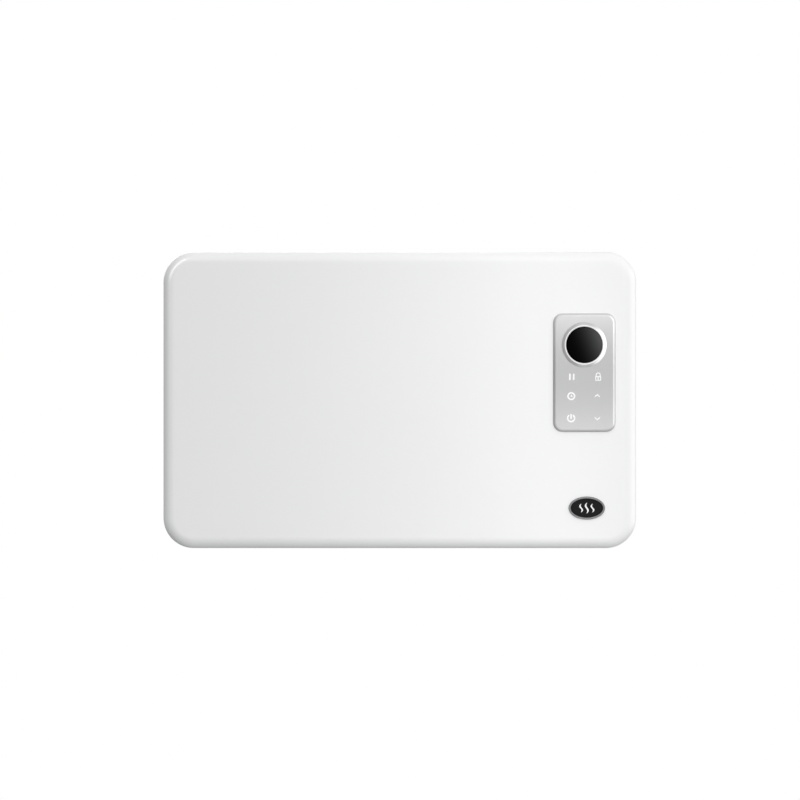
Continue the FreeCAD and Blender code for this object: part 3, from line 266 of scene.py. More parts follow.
def drop(*tools):
    """Clears away objects that only served to shape a piece."""
    for tool in tools:
        bpy.data.objects.remove(tool)


def cut(piece, *tools):
    """Cuts each tool out of a piece, and clears the tools away."""
    for tool in tools:
        knife = piece.modifiers.new("cut", "BOOLEAN")
        knife.object = tool
        knife.solver = "EXACT"
    settled(piece)
    drop(*tools)
    return piece


def softened(piece, finish, angle=35):
    """Smooth shading with crisp edges where the surface turns by more than the angle."""
    piece.data.materials.clear()
    piece.data.materials.append(finish.material)
    piece.data.shade_smooth()
    piece.data.set_sharp_from_angle(angle=math.radians(angle))
    return piece


def fit(piece, finish, slot, *stands_for, body="heater", **shading):
    """Finishes a piece and puts it on its body, in the place of the nodes that it stands for."""
    softened(piece, finish, **shading)
    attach(piece, body)
    if stands_for:
        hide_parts(*stands_for)


def arc(centre, radius, start, end, steps):
    """Points of an arc, from one angle to another in degrees."""
    turns = [math.radians(start + (end - start) * i / steps) for i in range(steps + 1)]
    return [(centre[0] + radius * math.cos(t), centre[1] + radius * math.sin(t)) for t in turns]


def rounded(width, height, radius, steps=8):
    """Points of a rectangle with rounded corners, about the middle."""
    x, z = width / 2 - radius, height / 2 - radius
    corners = (((x, z), 0), ((-x, z), 90), ((-x, -z), 180), ((x, -z), 270))
    return [point for centre, turn in corners for point in arc(centre, radius, turn, turn + 90, steps)]


def punch(outline, middle, through, reach=3 * mm):
    """A straight tool through a point, its outline square to the direction in which it cuts."""
    upright = backwards if through.z else upwards
    across = through.cross(upright)
    return lofted("punch", [[middle + across * a + upright * b + through * level for a, b in outline]
                            for level in (-reach, reach)])


def disc(radius, steps=48):
    """Points of a circle about the middle."""
    return arc((0, 0), radius, 0, 360 - 360 / steps, steps - 1)


hair = mm / 1000  # points that lie closer than this are one


def turned(name, profile, middle, steps=64, closed=False):
    """A piece turned about a Y axis through the middle. A point of the profile is (radius, Y)."""
    ring = [math.tau * i / steps for i in range(steps)]
    loops = []
    for (radius, y), before in zip(profile, profile[-1:] + profile[:-1]):
        if math.dist((radius, y), before) >= hair:
            loops.append([(middle.x + radius * math.cos(turn), y, middle.z + radius * math.sin(turn))
                          for turn in ring])
    return lofted(name, loops, closed)


def joined(name, pieces):
    """Makes one piece of several meshes."""
    whole = bmesh.new()
    for piece in pieces:
        whole.from_mesh(piece.data)
    drop(*pieces)
    piece = blank(name)
    whole.to_mesh(piece.data)
    whole.free()
    return piece


def solids(name):
    """The lowest and highest corner of each separate solid in a node, in order of X and Z."""
    copy = bmesh.new()
    copy.from_mesh(nodes[name].data)
    bmesh.ops.remove_doubles(copy, verts=copy.verts, dist=hair)
    left = set(copy.verts)
    found = []
    while left:
        island, edge = set(), [left.pop()]
        while edge:
            vert = edge.pop()
            island.add(vert)
            near = {link.other_vert(vert) for link in vert.link_edges} & left
            left -= near
            edge += near
        corners = [[pick(v.co[i] for v in island) for i in range(3)] for pick in (min, max)]
        found.append((Vector(corners[0]), Vector(corners[1])))
    copy.free()
    return sorted(found, key=lambda pair: (round(pair[0].x / mm), round(pair[0].z / mm)))


def rim_sweep_tree():
    """Sweeps a section, drawn in X and Y, round a rectangle with rounded corners."""
    tree = Shape("rim_sweep", width="Float", height="Float", corner="Float", corner_steps="Int",
                 section="Object", middle="Vector", material="Material")
    outline = tree.node("GeometryNodeCurvePrimitiveQuadrilateral", {
        "Width": tree["width"], "Height": tree["height"]})
    outline = tree.node("GeometryNodeFilletCurve", {
        "Curve": outline, "Count": tree["corner_steps"],
        "Radius": tree["corner"]}, mode="POLY")
    outline = tree.node("GeometryNodeSetCurveNormal", {"Curve": outline}, mode="Z_UP")
    section = tree.node("GeometryNodeMeshToCurve", {"Mesh": tree.thing("section")})
    skin = tree.node("GeometryNodeCurveToMesh", {"Curve": outline, "Profile Curve": section})
    tree.ends_in(tree.node("GeometryNodeTransform", {
        "Geometry": skin, "Rotation": (math.pi / 2, 0, 0), "Translation": tree["middle"]}))
    return tree


def swept(name, section, finish, **sizes):
    """Grows a closed shell from a section, whose points are (inset from the outline, Y)."""
    line = blank("section")
    line.data.from_pydata([(-inset, y, 0) for inset, y in section],
                          [(i, i + 1) for i in range(len(section) - 1)], [])
    piece = rim_sweep.grow(blank(name), section=line, material=finish.material, **sizes)
    drop(line)
    shell = bmesh.new()
    shell.from_mesh(piece.data)
    bmesh.ops.remove_doubles(shell, verts=shell.verts, dist=hair)
    bmesh.ops.holes_fill(shell, edges=[edge for edge in shell.edges if edge.is_boundary])
    bmesh.ops.recalc_face_normals(shell, faces=shell.faces)
    shell.to_mesh(piece.data)
    shell.free()
    return piece


def perforation_tree():
    """Punches a grid of holes, repeated in blocks one above the other, with one tool."""
    tree = Shape("perforations", columns="Int", rows="Int", column_pitch="Float", row_pitch="Float",
                 blocks="Int", block_pitch="Float", middle="Vector", tool="Object", material="Material")
    columns, rows, blocks = tree["columns"], tree["rows"], tree["blocks"]
    grid = tree.node("GeometryNodeMeshGrid", {
        "Vertices X": columns, "Vertices Y": rows,
        "Size X": (columns - 1) * tree["column_pitch"],
        "Size Y": (rows - 1) * tree["row_pitch"]}, "Mesh")
    grid = tree.node("GeometryNodeTransform", {
        "Geometry": grid, "Rotation": (math.pi / 2, 0, 0), "Translation": tree["middle"]})
    step = tree["block_pitch"]
    line = tree.node("GeometryNodeMeshLine", {
        "Count": blocks,
        "Start Location": tree.node("ShaderNodeCombineXYZ", {"Z": (1 - blocks) * step / 2}),
        "Offset": tree.node("ShaderNodeCombineXYZ", {"Z": step})}, mode="OFFSET")
    tools = tree.copies(tree.copies(line, grid), tree.thing("tool"))
    tree.ends_in(tree.node("GeometryNodeMeshBoolean", {
        "Mesh 1": tree["geometry"], "Mesh 2": tools}, operation="DIFFERENCE"))
    return tree


def slot_tool(length, width, sheet, rim, along, through):
    """A punch for one slot with round ends. It flares past both faces, which rolls the rim."""
    over = 0.05 * mm
    waist, mouth, reach, wide = sheet / 2 - rim, sheet / 2 + over, 3 * sheet, rim + over
    levels = ((-reach, wide), (-mouth, wide), (-waist, 0), (waist, 0), (mouth, wide), (reach, wide))
    half = (length - width) / 2
    across = through.cross(along)
    loops = []
    for level, flare in levels:
        radius = width / 2 + flare
        ends = arc((half, 0), radius, -90, 90, 8) + arc((-half, 0), radius, 90, 270, 8)
        loops.append([along * a + across * b + through * level for a, b in ends])
    return lofted("slot_tool", loops)


rim_sweep = rim_sweep_tree()
perforations = perforation_tree()
cover_low, cover_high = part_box("front_cover")
body_width = cover_high.x - cover_low.x
body_height = cover_high.z - cover_low.z
body_middle = Vector((0, 0, (cover_low.z + cover_high.z) / 2))
body_corner = 38.5 * mm
body_outline = {"width": body_width, "height": body_height, "corner": body_corner, "corner_steps": 20,
                "middle": body_middle}
sheet = 1 * mm

pan_low, pan_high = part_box("back_panel")
pan_inset = 16 * mm
pan_fold = 3 * mm
pan_root = 1 * mm
flange_inset = pan_low.x - cover_low.x
flange_edge = 0.3 * mm
flat_rim = 2 * mm
pan_back, pan_join = pan_high.y, pan_low.y
pan_half_width = body_width / 2 - pan_inset
pan_bottom = cover_low.z + pan_inset
pan_enamel = mottled("back_enamel", ((0.74, 0.745, 0.745), (0.79, 0.79, 0.785)), 90, (0.42, 0.56),
                     (0.9, 0.03))
pan_section = [(pan_inset + pan_fold + flat_rim, pan_back)]
pan_section += arc((pan_inset + pan_fold, pan_back - pan_fold), pan_fold, 90, 180, 8)
pan_section += arc((pan_inset - pan_root, pan_join + sheet + pan_root), pan_root, 0, -90, 5)
pan_section += [(flange_inset + flange_edge, pan_join + sheet),
                (flange_inset, pan_join + sheet - flange_edge),
                (flange_inset, pan_join + flange_edge),
                (flange_inset + flange_edge, pan_join),
                (pan_inset + sheet, pan_join)]
pan_section += arc((pan_inset + pan_fold, pan_back - pan_fold), pan_fold - sheet, 180, 90, 8)
pan_section += [(pan_inset + pan_fold + flat_rim, pan_back - sheet)]
back_pan = swept("back_pan", pan_section, pan_enamel, **body_outline)

hook_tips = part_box("wall_bracket")[1].z
hook_pitch = 260 * mm
hook_slot = Vector((32 * mm, 0, 17.2 * mm))
hook_slot_corner = 1.5 * mm
hook_tip_above_slot = 9.8 * mm
hook_slot_top = hook_tips - hook_tip_above_slot
openings = []
for side in (-1, 1):
    middle = Vector((side * hook_pitch / 2, pan_back, hook_slot_top - hook_slot.z / 2))
    openings.append(punch(rounded(hook_slot.x, hook_slot.z, hook_slot_corner), middle, backwards))

switch_low, switch_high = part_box("mains_switch_body")
switch_middle = (switch_low + switch_high) / 2
switch_lip = 0.8 * mm
switch_hole_corner = 0.6 * mm
_, wide, tall = switch_high - switch_low - 2 * switch_lip * (backwards + upwards)
middle = Vector((pan_half_width, switch_middle.y, switch_middle.z))
openings.append(punch(rounded(wide, tall, switch_hole_corner), middle, rightwards))
gland_hole, sensor_hole = 6.05 * mm, 2.75 * mm
for node, radius in (("cable_gland", gland_hole), ("room_sensor", sensor_hole)):
    low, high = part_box(node)
    middle = Vector(((low.x + high.x) / 2, (low.y + high.y) / 2, pan_bottom))
    openings.append(punch(disc(radius), middle, upwards))
cut(back_pan, *openings)

screw_hole_radius, screw_hole_sides = 1.9 * mm, 24
screw_hole = disc(screw_hole_radius, screw_hole_sides)
screw_nodes = ("casing_screws", "chassis_screws", "spacer_screws")
holes = []
for node in screw_nodes:
    for low, high in solids(node):
        middle = (low + high) / 2
        middle.y = pan_join + sheet / 2 if node == "casing_screws" else pan_back - sheet / 2
        holes.append(punch(screw_hole, middle, backwards, sheet))
cut(back_pan, joined("screw_holes", holes))

vent_length, vent_width, vent_rim = 56 * mm, 4 * mm, 0.3 * mm
vent_column_pitch, vent_row_pitch, vent_block_pitch = 80 * mm, 9 * mm, 289 * mm
vent = slot_tool(vent_length, vent_width, sheet, vent_rim, rightwards, backwards)
perforations.grow(back_pan, tool=vent, columns=3, rows=4, column_pitch=vent_column_pitch,
                  row_pitch=vent_row_pitch, blocks=2, block_pitch=vent_block_pitch,
                  material=pan_enamel.material,
                  middle=body_middle + Vector((0, pan_back - sheet / 2, 0)))
drop(vent)
fit(back_pan, pan_enamel, "back_enamel", "back_panel")


# Wall spacers
# Two tapered rubber feet that keep the bottom of the heater off the wall. Each is moulded with a
# counterbore for the head of its screw, and its edges are rounded.

foot_radius = 11 * mm
foot_tip = 9 * mm
foot_edge = 0.8 * mm
foot_bore = 4.2 * mm
foot_bore_depth = 7 * mm
foot_hole = 2.05 * mm
rubber = mottled("rubber_black", ((0.012, 0.012, 0.013), (0.024, 0.024, 0.025)), 6, (0.62, 0.82),
                 (0.5, 0.02))
feet = []
for low, high in solids("wall_spacers"):
    middle = (low + high) / 2
    profile = [(foot_hole, low.y), (foot_radius - foot_edge, low.y)]
    profile += arc((foot_radius - foot_edge, low.y + foot_edge), foot_edge, -90, 0, 4)
    profile += arc((foot_tip - foot_edge, high.y - foot_edge), foot_edge, 0, 90, 4)
    profile += [(foot_bore + foot_edge / 2, high.y), (foot_bore, high.y - foot_edge / 2),
                (foot_bore, high.y - foot_bore_depth), (foot_hole, high.y - foot_bore_depth)]
    feet.append(turned("foot", profile, middle, closed=True))
fit(joined("rubber_feet", feet), rubber, "rubber_black", "wall_spacers")


# Screws of the casing
# Zinc plated pan head tapping screws with a cross recess: through the flange into the cover's lip,
# through the pan into what stands on it, and through the two rubber feet. Each stops at its own angle.

def screw_tree():
    """Sets one screw at each place, turned about its own axis by up to a whole turn."""
    tree = Shape("screw_set", screw="Object", places="Object", seed="Int", material="Material")
    highest, seed = 3, 8
    turn = tree.node("FunctionNodeRandomValue", {
        highest: math.tau, seed: tree["seed"]}, 1, data_type="FLOAT")
    tree.ends_in(tree.copies(tree.thing("places"), tree.thing("screw"), Y=turn))
    return tree


def screw(length):
    """One screw, its head seated on Y = 0 and facing +Y."""
    head, shank, tip = 3.4 * mm, 1.75 * mm, 1.2 * mm
    edge, side, rise = 0.25 * mm, 0.9 * mm, 1.3 * mm
    ball = (head * head + rise * rise) / (2 * rise)
    reach = math.degrees(math.asin(head / ball))
    profile = [(shank / 3, -length), (shank, tip - length), (shank, 0), (head - edge, 0), (head, edge)]
    profile += arc((0, side + rise - ball), ball, 90 - reach, 88, 8)
    body = turned("screw", profile, Vector(), 40)
    arm, wide, bottom = 1.9 * mm, 0.5 * mm, 0.7 * mm
    cross = [(arm, wide), (wide, wide), (wide, arm)]
    for _ in range(3):
        cross += [(-z, x) for x, z in cross[-3:]]
    taper = ((bottom, 0.55), (side + rise + edge, 1.1))
    recess = lofted("recess", [[(x * share, y, z * share) for x, z in cross] for y, share in taper])
    return cut(body, recess)


screw_set = screw_tree()
screw_steel = mottled("screw_steel", ((0.42, 0.43, 0.45), (0.66, 0.66, 0.65)), 5, (0.24, 0.40),
                      (0.8, 0.01), Metallic=1.0)
head_height = 2.2 * mm
screw_lengths = (6.5 * mm, 6.5 * mm, 17.5 * mm)
for seed, (node, length) in enumerate(zip(screw_nodes, screw_lengths)):
    seats = blank("seats")
    seats.data.from_pydata([((low.x + high.x) / 2, high.y - head_height, (low.z + high.z) / 2)
                            for low, high in solids(node)], [], [])
    one = screw(length)
    screws = screw_set.grow(blank(node[:-1] + "_set"), screw=one, places=seats, seed=seed,
                            material=screw_steel.material)
    drop(seats, one)
    fit(screws, screw_steel, "screw_steel", node)
dress(screw_steel, "display_board_screws", "cutout_screws", "board_screws", "earth_stud", "earth_nut")


# Heat reflector and brackets
# The reflector is thin bright rolled aluminium on two feet, and throws heat off the back panel. The
# element's brackets and the partition are folded from galvanised sheet and screwed to the pan.
dress(mottled("reflector_aluminium", ((0.72, 0.73, 0.74), 0.86), 3, (0.16, 0.30),
              (0.8, 0.01), (0.04, 1, 1), Metallic=1.0), "heat_reflector")
dress(plated("galvanised_sheet", ((0.42, 0.44, 0.46), (0.66, 0.67, 0.68)), 11, (0.30, 0.48)),
      "element_bracket_left", "element_bracket_right", "partition_plate")


# Heating element
# A steel tube bent to a hairpin, with an aluminium extrusion pressed on each leg. Ceramic bushes hold
# it in the brackets, and ceramic beads seal the ends round its pins. Heat has tinted the bare tube.
dress(mottled("fin_aluminium", ((0.50, 0.51, 0.52), 0.70), 2, (0.30, 0.46),
              (0.6, 0.02), (0.03, 1, 1), Metallic=1.0),
      "element_fins_lower", "element_fins_upper")
dress(mottled("core_steel", ((0.22, 0.17, 0.13), (0.44, 0.40, 0.36)), 14, (0.32, 0.52),
              (0.7, 0.01), Metallic=1.0), "element_core")
dress(mottled("ceramic_white", ((0.76, 0.73, 0.66), (0.86, 0.84, 0.79)), 4, (0.34, 0.60),
              (0.4, 0.01)), "element_bushes", "element_end_seals")
dress(mottled("terminal_brass", ((0.60, 0.41, 0.15), (0.78, 0.58, 0.26)), 5, (0.22, 0.40),
              Metallic=1.0), "element_terminal_pins", "cutout_tabs", "switch_terminals")


# Thermal cut-out and grommet
# A snap disc switch in a nickel plated steel cup, screwed to the partition beside the element, and a
# rubber grommet where the element's leads pass through that partition.
dress(mottled("cutout_steel", ((0.52, 0.50, 0.46), (0.70, 0.69, 0.66)), 6, (0.20, 0.36),
              Metallic=1.0), "thermal_cutout")
dress(rubber, "wire_grommet")


# Boards and their parts
# Green glass fibre boards with copper tracks under the lacquer. The relays and the buzzer are black
# mouldings, the transformer a stack of steel plates, the capacitors a resin box and an aluminium can.

def circuit_board():
    """Lacquered board: tracks run in steps under it, slightly raised, with bare speckles of glass."""
    made = Finish("board_green")
    track_pitch, track_share, track_height, speckle = 6, 0.12, 0.03, 0.5
    routes = made.node("ShaderNodeTexVoronoi", {
        "Vector": made.scaled(track_pitch), "Scale": 1}, "Distance",
        distance="MANHATTAN", feature="DISTANCE_TO_EDGE")
    bare = routes > track_share
    glass = made.noise(speckle)
    ground = made.blend(glass, (0.015, 0.09, 0.035), (0.03, 0.13, 0.05))
    made.set(Base_Color=made.blend(bare, (0.05, 0.20, 0.08), ground),
             Roughness=0.24 + 0.2 * glass,
             Normal=made.relief(1 - bare, track_height))
    return made


black_plastic = mottled("black_plastic", ((0.014, 0.014, 0.015), (0.030, 0.030, 0.031)), 12,
                        (0.36, 0.54), (0.35, 0.012))
pale_plastic = mottled("pale_plastic", ((0.70, 0.67, 0.58), (0.80, 0.78, 0.70)), 9, (0.34, 0.52),
                       (0.5, 0.01))
dress(circuit_board(), "display_board", "power_board")
plate_pitch, plate_step = 0.7, 0.08
plates = Finish("transformer_steel", Metallic=1.0)
plates.follow(plates.wave(plate_pitch, "X"), ((0.10, 0.10, 0.11), (0.34, 0.33, 0.32)), (0.35, 0.2),
              plate_step)
dress(plates, "transformer")
dress(black_plastic, "display_module", "touch_posts", "control_box_cover", "relays", "buzzer",
      "board_standoffs", "cable_gland_nut", "room_sensor", "mains_switch_body", "mains_switch_rocker",
      "cable_gland")
dress(pale_plastic, "ribbon_plug", "ribbon_socket", "sensor_socket", "sensor_holder")
dress(mottled("green_plastic", ((0.03, 0.20, 0.08), (0.05, 0.29, 0.12)), 8, (0.34, 0.52),
              (0.5, 0.01)), "mains_terminal_block", "output_terminal_block")
dress(mottled("capacitor_film", ((0.62, 0.42, 0.04), (0.76, 0.55, 0.09)), 10, (0.28, 0.46),
              (0.6, 0.01)), "film_capacitor")
dress(mottled("can_aluminium", ((0.55, 0.56, 0.58), (0.74, 0.74, 0.75)), 3, (0.22, 0.38),
              Metallic=1.0), "smoothing_capacitor")


# Switch, gland and sensor
# A black rocker switch snapped into the side of the pan, its two marks printed white, and a screwed
# gland with a ribbed grip in the bottom. The room sensor's bead hangs beside it, out of the warm air.

def flat_print(name, loops, thickness, seat):
    """A thin print of closed outlines on a seat, where an outline inside another is a hole."""
    film = bpy.data.curves.new(name, "CURVE")
    film.dimensions = "2D"
    film.fill_mode = "BOTH"
    film.extrude = thickness / 2
    for loop in loops:
        line = film.splines.new("POLY")
        line.points.add(len(loop) - 1)
        line.use_cyclic_u = True
        for point, (x, y) in zip(line.points, loop):
            point.co = (x, y, 0, 1)
    holder = placed(name, film)
    bpy.context.view_layer.update()
    made = bpy.data.meshes.new_from_object(holder)
    drop(holder)
    made.transform(seat)
    return placed(name, made)


def bar(width, height):
    """Outline of a stroke with round ends, whose points stay apart."""
    nearly_half = 0.499
    return rounded(width, height, min(width, height) * nearly_half, 5)


def band(radius, stroke, start=0, end=360):
    """Outlines of a round line, whole or open between two angles in degrees."""
    inner = radius - stroke
    if end - start == 360:
        return [disc(edge, 45) for edge in (radius, inner)]
    return [arc((0, 0), radius, start, end, 36) + arc((0, 0), inner, end, start, 36)]


ink = mottled("mark_white", (0.92, 0.96), 3, (0.34, 0.48))
ink_height = 0.06 * mm
rocker_skin = nodes["mains_switch_rocker"].data
rocker_low, rocker_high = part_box("mains_switch_rocker")
rocker_middle = (rocker_low + rocker_high) / 2
rocker_faces = BVHTree.FromPolygons([vert.co for vert in rocker_skin.vertices],
                                    [face.vertices for face in rocker_skin.polygons])
mark_offset = 4.2 * mm
probe_start = 5 * mm
on_mark = [bar(0.7 * mm, 3.4 * mm)]
off_mark = band(1.7 * mm, 0.6 * mm)
switch_prints = []
for side, loops in ((1, on_mark), (-1, off_mark)):
    start = Vector((rocker_high.x + probe_start, rocker_middle.y, rocker_middle.z + side * mark_offset))
    spot, out, _, _ = rocker_faces.ray_cast(start, -rightwards)
    turn = Matrix((backwards, out.cross(backwards), out)).transposed().to_4x4()
    on_face = Matrix.Translation(spot + out * ink_height / 3) @ turn
    switch_prints.append(flat_print("switch_mark", loops, ink_height, on_face))
fit(joined("switch_marks", switch_prints), ink, "ring_pale", body="mains_switch_rocker")


def grip_tree():
    """Sets ribs evenly round an upright grip."""
    tree = Shape("grip_ribs", count="Int", radius="Float", rib="Object", middle="Vector",
                 material="Material")
    ring = tree.node("GeometryNodeMeshCircle", {
        "Vertices": tree["count"], "Radius": tree["radius"]})
    angle = tree.node("GeometryNodeInputIndex") * math.tau / tree["count"]
    ribs = tree.copies(ring, tree.thing("rib"), Z=angle)
    tree.ends_in(tree.node("GeometryNodeTransform", {
        "Geometry": ribs, "Translation": tree["middle"]}))
    return tree


gland_low, gland_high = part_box("cable_gland")
gland_middle = (gland_low + gland_high) / 2
gland_radius = 7.5 * mm
grip_level = 4.6 * mm
rib_count, rib_sides = 24, 8
rib_height, rib_length = 0.55 * mm, 5.6 * mm
rib_ends = ((0.15, -0.5), (1, -0.44), (1, 0.44), (0.15, 0.5))
rib = lofted("rib", [[(share * x, share * y, rib_length * z) for x, y in disc(rib_height, rib_sides)]
                     for share, z in rib_ends])
ribs = grip_tree().grow(blank("gland_ribs"), rib=rib, count=rib_count, radius=gland_radius,
                        material=black_plastic.material,
                        middle=Vector((gland_middle.x, gland_middle.y, gland_low.z + grip_level)))
drop(rib)
fit(ribs, black_plastic, "black_plastic")


# Wiring
# Glass braid sleeves on the hot leads, brown insulation on the others, and a flat grey ribbon from the
# display to the power board, with one rib for each conductor. All of it lies between fixed ends.
thread_pitch, fuzz, thread_height = 1.1, 0.6, 0.06
braid = Finish("lead_sleeve", Specular_IOR_Level=0.3)
braid.follow(0.5 * braid.wave(thread_pitch, "DIAGONAL") + 0.5 * braid.noise(fuzz),
             ((0.46, 0.45, 0.42), (0.78, 0.77, 0.73)), (0.7, 0.2), thread_height)
dress(braid, "element_leads", "cutout_leads")
dress(mottled("lead_brown", ((0.12, 0.055, 0.025), (0.18, 0.085, 0.04)), 8, (0.34, 0.50),
              (0.8, 0.01)), "switch_leads", "sensor_lead")
conductor_pitch, conductor_height = 1.0, 0.1
ribbon = Finish("ribbon_grey")
ribbon.follow(ribbon.wave(conductor_pitch, "X"), ((0.26, 0.26, 0.27), (0.44, 0.44, 0.45)), (0.42, 0.15),
              conductor_height)
dress(ribbon, "display_ribbon")


# Front cover
# One sheet of steel pressed into a pan with wide soft front edges, its rear edge folded in as a lip.
# Air slots are punched through its bottom and top, and it is coated in smooth white enamel.

def white_enamel():
    """Stoved enamel: very even, with a faint ripple in its gloss."""
    made = Finish("white_enamel")
    drift_size, cloud, ripple, ripple_depth = 160, 25, 3, 0.003
    drift = made.noise(drift_size)
    made.set(Base_Color=made.blend(drift, (0.853, 0.853, 0.854), 0.873),
             Roughness=0.285 + 0.05 * made.noise(cloud),
             Normal=made.relief(made.noise(ripple, detail=1), ripple_depth))
    return made


enamel = white_enamel()
face, rear = cover_low.y, cover_high.y
edge_round = 14 * mm
rear_fold = 2 * mm
lip_inset = 13 * mm
front_round = (edge_round, face + edge_round)
rear_round = (rear_fold, rear - rear_fold)
cover_section = [(edge_round + flat_rim, face)]
cover_section += arc(front_round, edge_round, 270, 180, 18)
cover_section += arc(rear_round, rear_fold, 180, 90, 6)
cover_section += [(lip_inset, rear), (lip_inset, rear - sheet)]
cover_section += arc(rear_round, rear_fold - sheet, 90, 180, 6)
cover_section += arc(front_round, edge_round - sheet, 180, 270, 18)
cover_section += [(edge_round + flat_rim, face + sheet)]
cover = swept("cover_shell", cover_section, enamel, **body_outline)

fascia_low, fascia_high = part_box("control_fascia")
fascia_middle = (fascia_low + fascia_high) / 2
fascia_width = fascia_high.x - fascia_low.x
fascia_height = fascia_high.z - fascia_low.z
skirt_inset = 6 * mm
window_play = 0.4 * mm
window_inset = 2 * (skirt_inset - window_play)
window = rounded(fascia_width - window_inset, fascia_height - window_inset, skirt_inset - window_play)
window_middle = Vector((fascia_middle.x, face, fascia_middle.z))
cut(cover, punch(window, window_middle, backwards))

slot_length, slot_width, slot_rim = 18 * mm, 5 * mm, 0.35 * mm
slot_count, slot_pitch, slots_behind_face = 46, 10 * mm, 26 * mm
slot = slot_tool(slot_length, slot_width, sheet, slot_rim, backwards, upwards)
perforations.grow(cover, tool=slot, columns=slot_count, rows=2, column_pitch=slot_pitch, blocks=1,
                  row_pitch=body_height - sheet, block_pitch=0.0, material=enamel.material,
                  middle=body_middle + Vector((0, face + slots_behind_face, 0)))
drop(slot)
fit(cover, enamel, "white_enamel", "front_cover")


# Control fascia
# A grey moulding that stands a little proud of the cover. Its skirt snaps through a window in the
# sheet and carries the display board. The face has a fine satin grain and a painted reflection that
# makes it paler towards its top and bottom, and its edge is rounded.

def satin_grey_painted_reflection():
    """Silver grey paint on the moulding with fine grain, and a painted reflection that makes it paler
    towards both ends, most at the top.
    """
    made = Finish("fascia_grey", Metallic=0.5)
    grain = made.noise(satin_grain)
    height = (made.axis("Z") - fascia_middle.z) / (fascia_height / 2)
    # painted reflection: the paint turns paler towards the top and bottom of the moulding, more at the
    # top
    share = 0.7 * height * height * (1 + 0.25 * height) + 0.3 * grain
    made.set(Base_Color=made.blend(share, (0.36, 0.36, 0.362), 0.545),
             Roughness=0.44 + 0.08 * grain,
             Normal=made.relief(grain, satin_depth))
    return made


satin_grain, satin_depth = 0.6, 0.004
fascia_grey = satin_grey_painted_reflection()
fascia_front = fascia_low.y
fascia_edge = 3.8 * mm
fascia_depth = 3.0 * mm
fascia_corner, fascia_corner_steps = 12 * mm, 12
fascia_wall = 2 * mm
seat_gap = 0.02 * mm
fascia_seat = face - seat_gap
fascia_section = [(fascia_edge + flat_rim / 2, fascia_front)]
fascia_section += [(fascia_edge * (1 + x), fascia_front + fascia_depth * (1 + y))
                   for x, y in arc((0, 0), 1, 270, 180, 12)]
fascia_section += [(0, fascia_seat), (skirt_inset, fascia_seat), (skirt_inset, fascia_high.y),
                   (skirt_inset + fascia_wall, fascia_high.y),
                   (skirt_inset + fascia_wall, fascia_front + fascia_wall),
                   (skirt_inset + fascia_wall + flat_rim / 2, fascia_front + fascia_wall)]
moulding = swept("fascia_moulding", fascia_section, fascia_grey, width=fascia_width,
                 height=fascia_height, corner=fascia_corner, corner_steps=fascia_corner_steps,
                 middle=Vector((fascia_middle.x, 0, fascia_middle.z)))
ring_low, ring_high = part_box("display_ring")
ring_middle = (ring_low + ring_high) / 2
lens_low, lens_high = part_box("display_lens")
lens_radius = (lens_high.x - lens_low.x) / 2
lens_play = 0.1 * mm
spigot_wall = 1.1 * mm
lens_ledge = 1.8 * mm
ring_bore = lens_radius + lens_play
ring_spigot = ring_bore + spigot_wall
seat_radius = ring_spigot + lens_play
ledge_radius = lens_radius - lens_ledge
seat = [(seat_radius, fascia_front - sheet), (seat_radius, ring_high.y),
        (ledge_radius, ring_high.y), (ledge_radius, fascia_front + 2 * fascia_wall)]
seat_sides = 96
cut(moulding, turned("seat", seat, ring_middle, seat_sides))
fit(moulding, fascia_grey, "fascia_grey", "control_fascia")


# Display
# A round smoked window, slightly domed, with a painted reflection lightening its upper right, in a
# satin silver bezel. The bezel slopes out from a crest beside the window, with a painted highlight
# along the crest, and its spigot is pressed into the fascia and holds the window.

def bezel_silver_painted_highlight():
    """Satin silver paint, with a painted highlight: a pale line along the crest."""
    made = Finish("ring_pale", Metallic=0.45)
    across = made.axis("X") - ring_middle.x
    up = made.axis("Z") - ring_middle.z
    # painted highlight: the colour turns pale in a narrow band along the crest circle
    off_painted_highlight = (across * across + up * up - ring_crest * ring_crest) / (2 * ring_crest * painted_highlight_width)
    grain = made.noise(satin_grain)
    satin = made.blend(grain, (0.41, 0.41, 0.412), 0.47)
    made.set(Base_Color=made.blend(1 - off_painted_highlight * off_painted_highlight, satin, 0.71),
             Roughness=0.30 + 0.06 * grain,
             Normal=made.relief(grain, bezel_depth))
    return made


round_sides = 128
bezel_depth = 0.003
ring_radius = (ring_high.x - ring_low.x) / 2
ring_crest = ring_bore + 0.25 * (ring_radius - ring_bore)
ring_rise = fascia_front - ring_low.y
ring_soft = 0.6 * mm
ring_slope, crest_lean = 26, 14
painted_highlight_width = 0.8 * mm
crest_ball = 1.2 * mm
bore_edge = 0.15 * mm
ring_inner = fascia_front - 0.9 * ring_rise
bezel = [(ring_spigot, ring_high.y), (ring_spigot, fascia_front), (ring_radius, fascia_front)]
bezel += arc((ring_radius - ring_soft, fascia_front), ring_soft, 0, ring_slope - 90, 5)
bezel += arc((ring_crest, ring_low.y + crest_ball), crest_ball, ring_slope - 90, -90 - crest_lean, 10)
bezel += [(ring_bore + bore_edge, ring_inner - bore_edge), (ring_bore, ring_inner),
          (ring_bore, ring_high.y)]
bezel_ring = turned("bezel_ring", bezel, ring_middle, round_sides, closed=True)
fit(bezel_ring, bezel_silver_painted_highlight(), "ring_pale", "display_ring", angle=30)


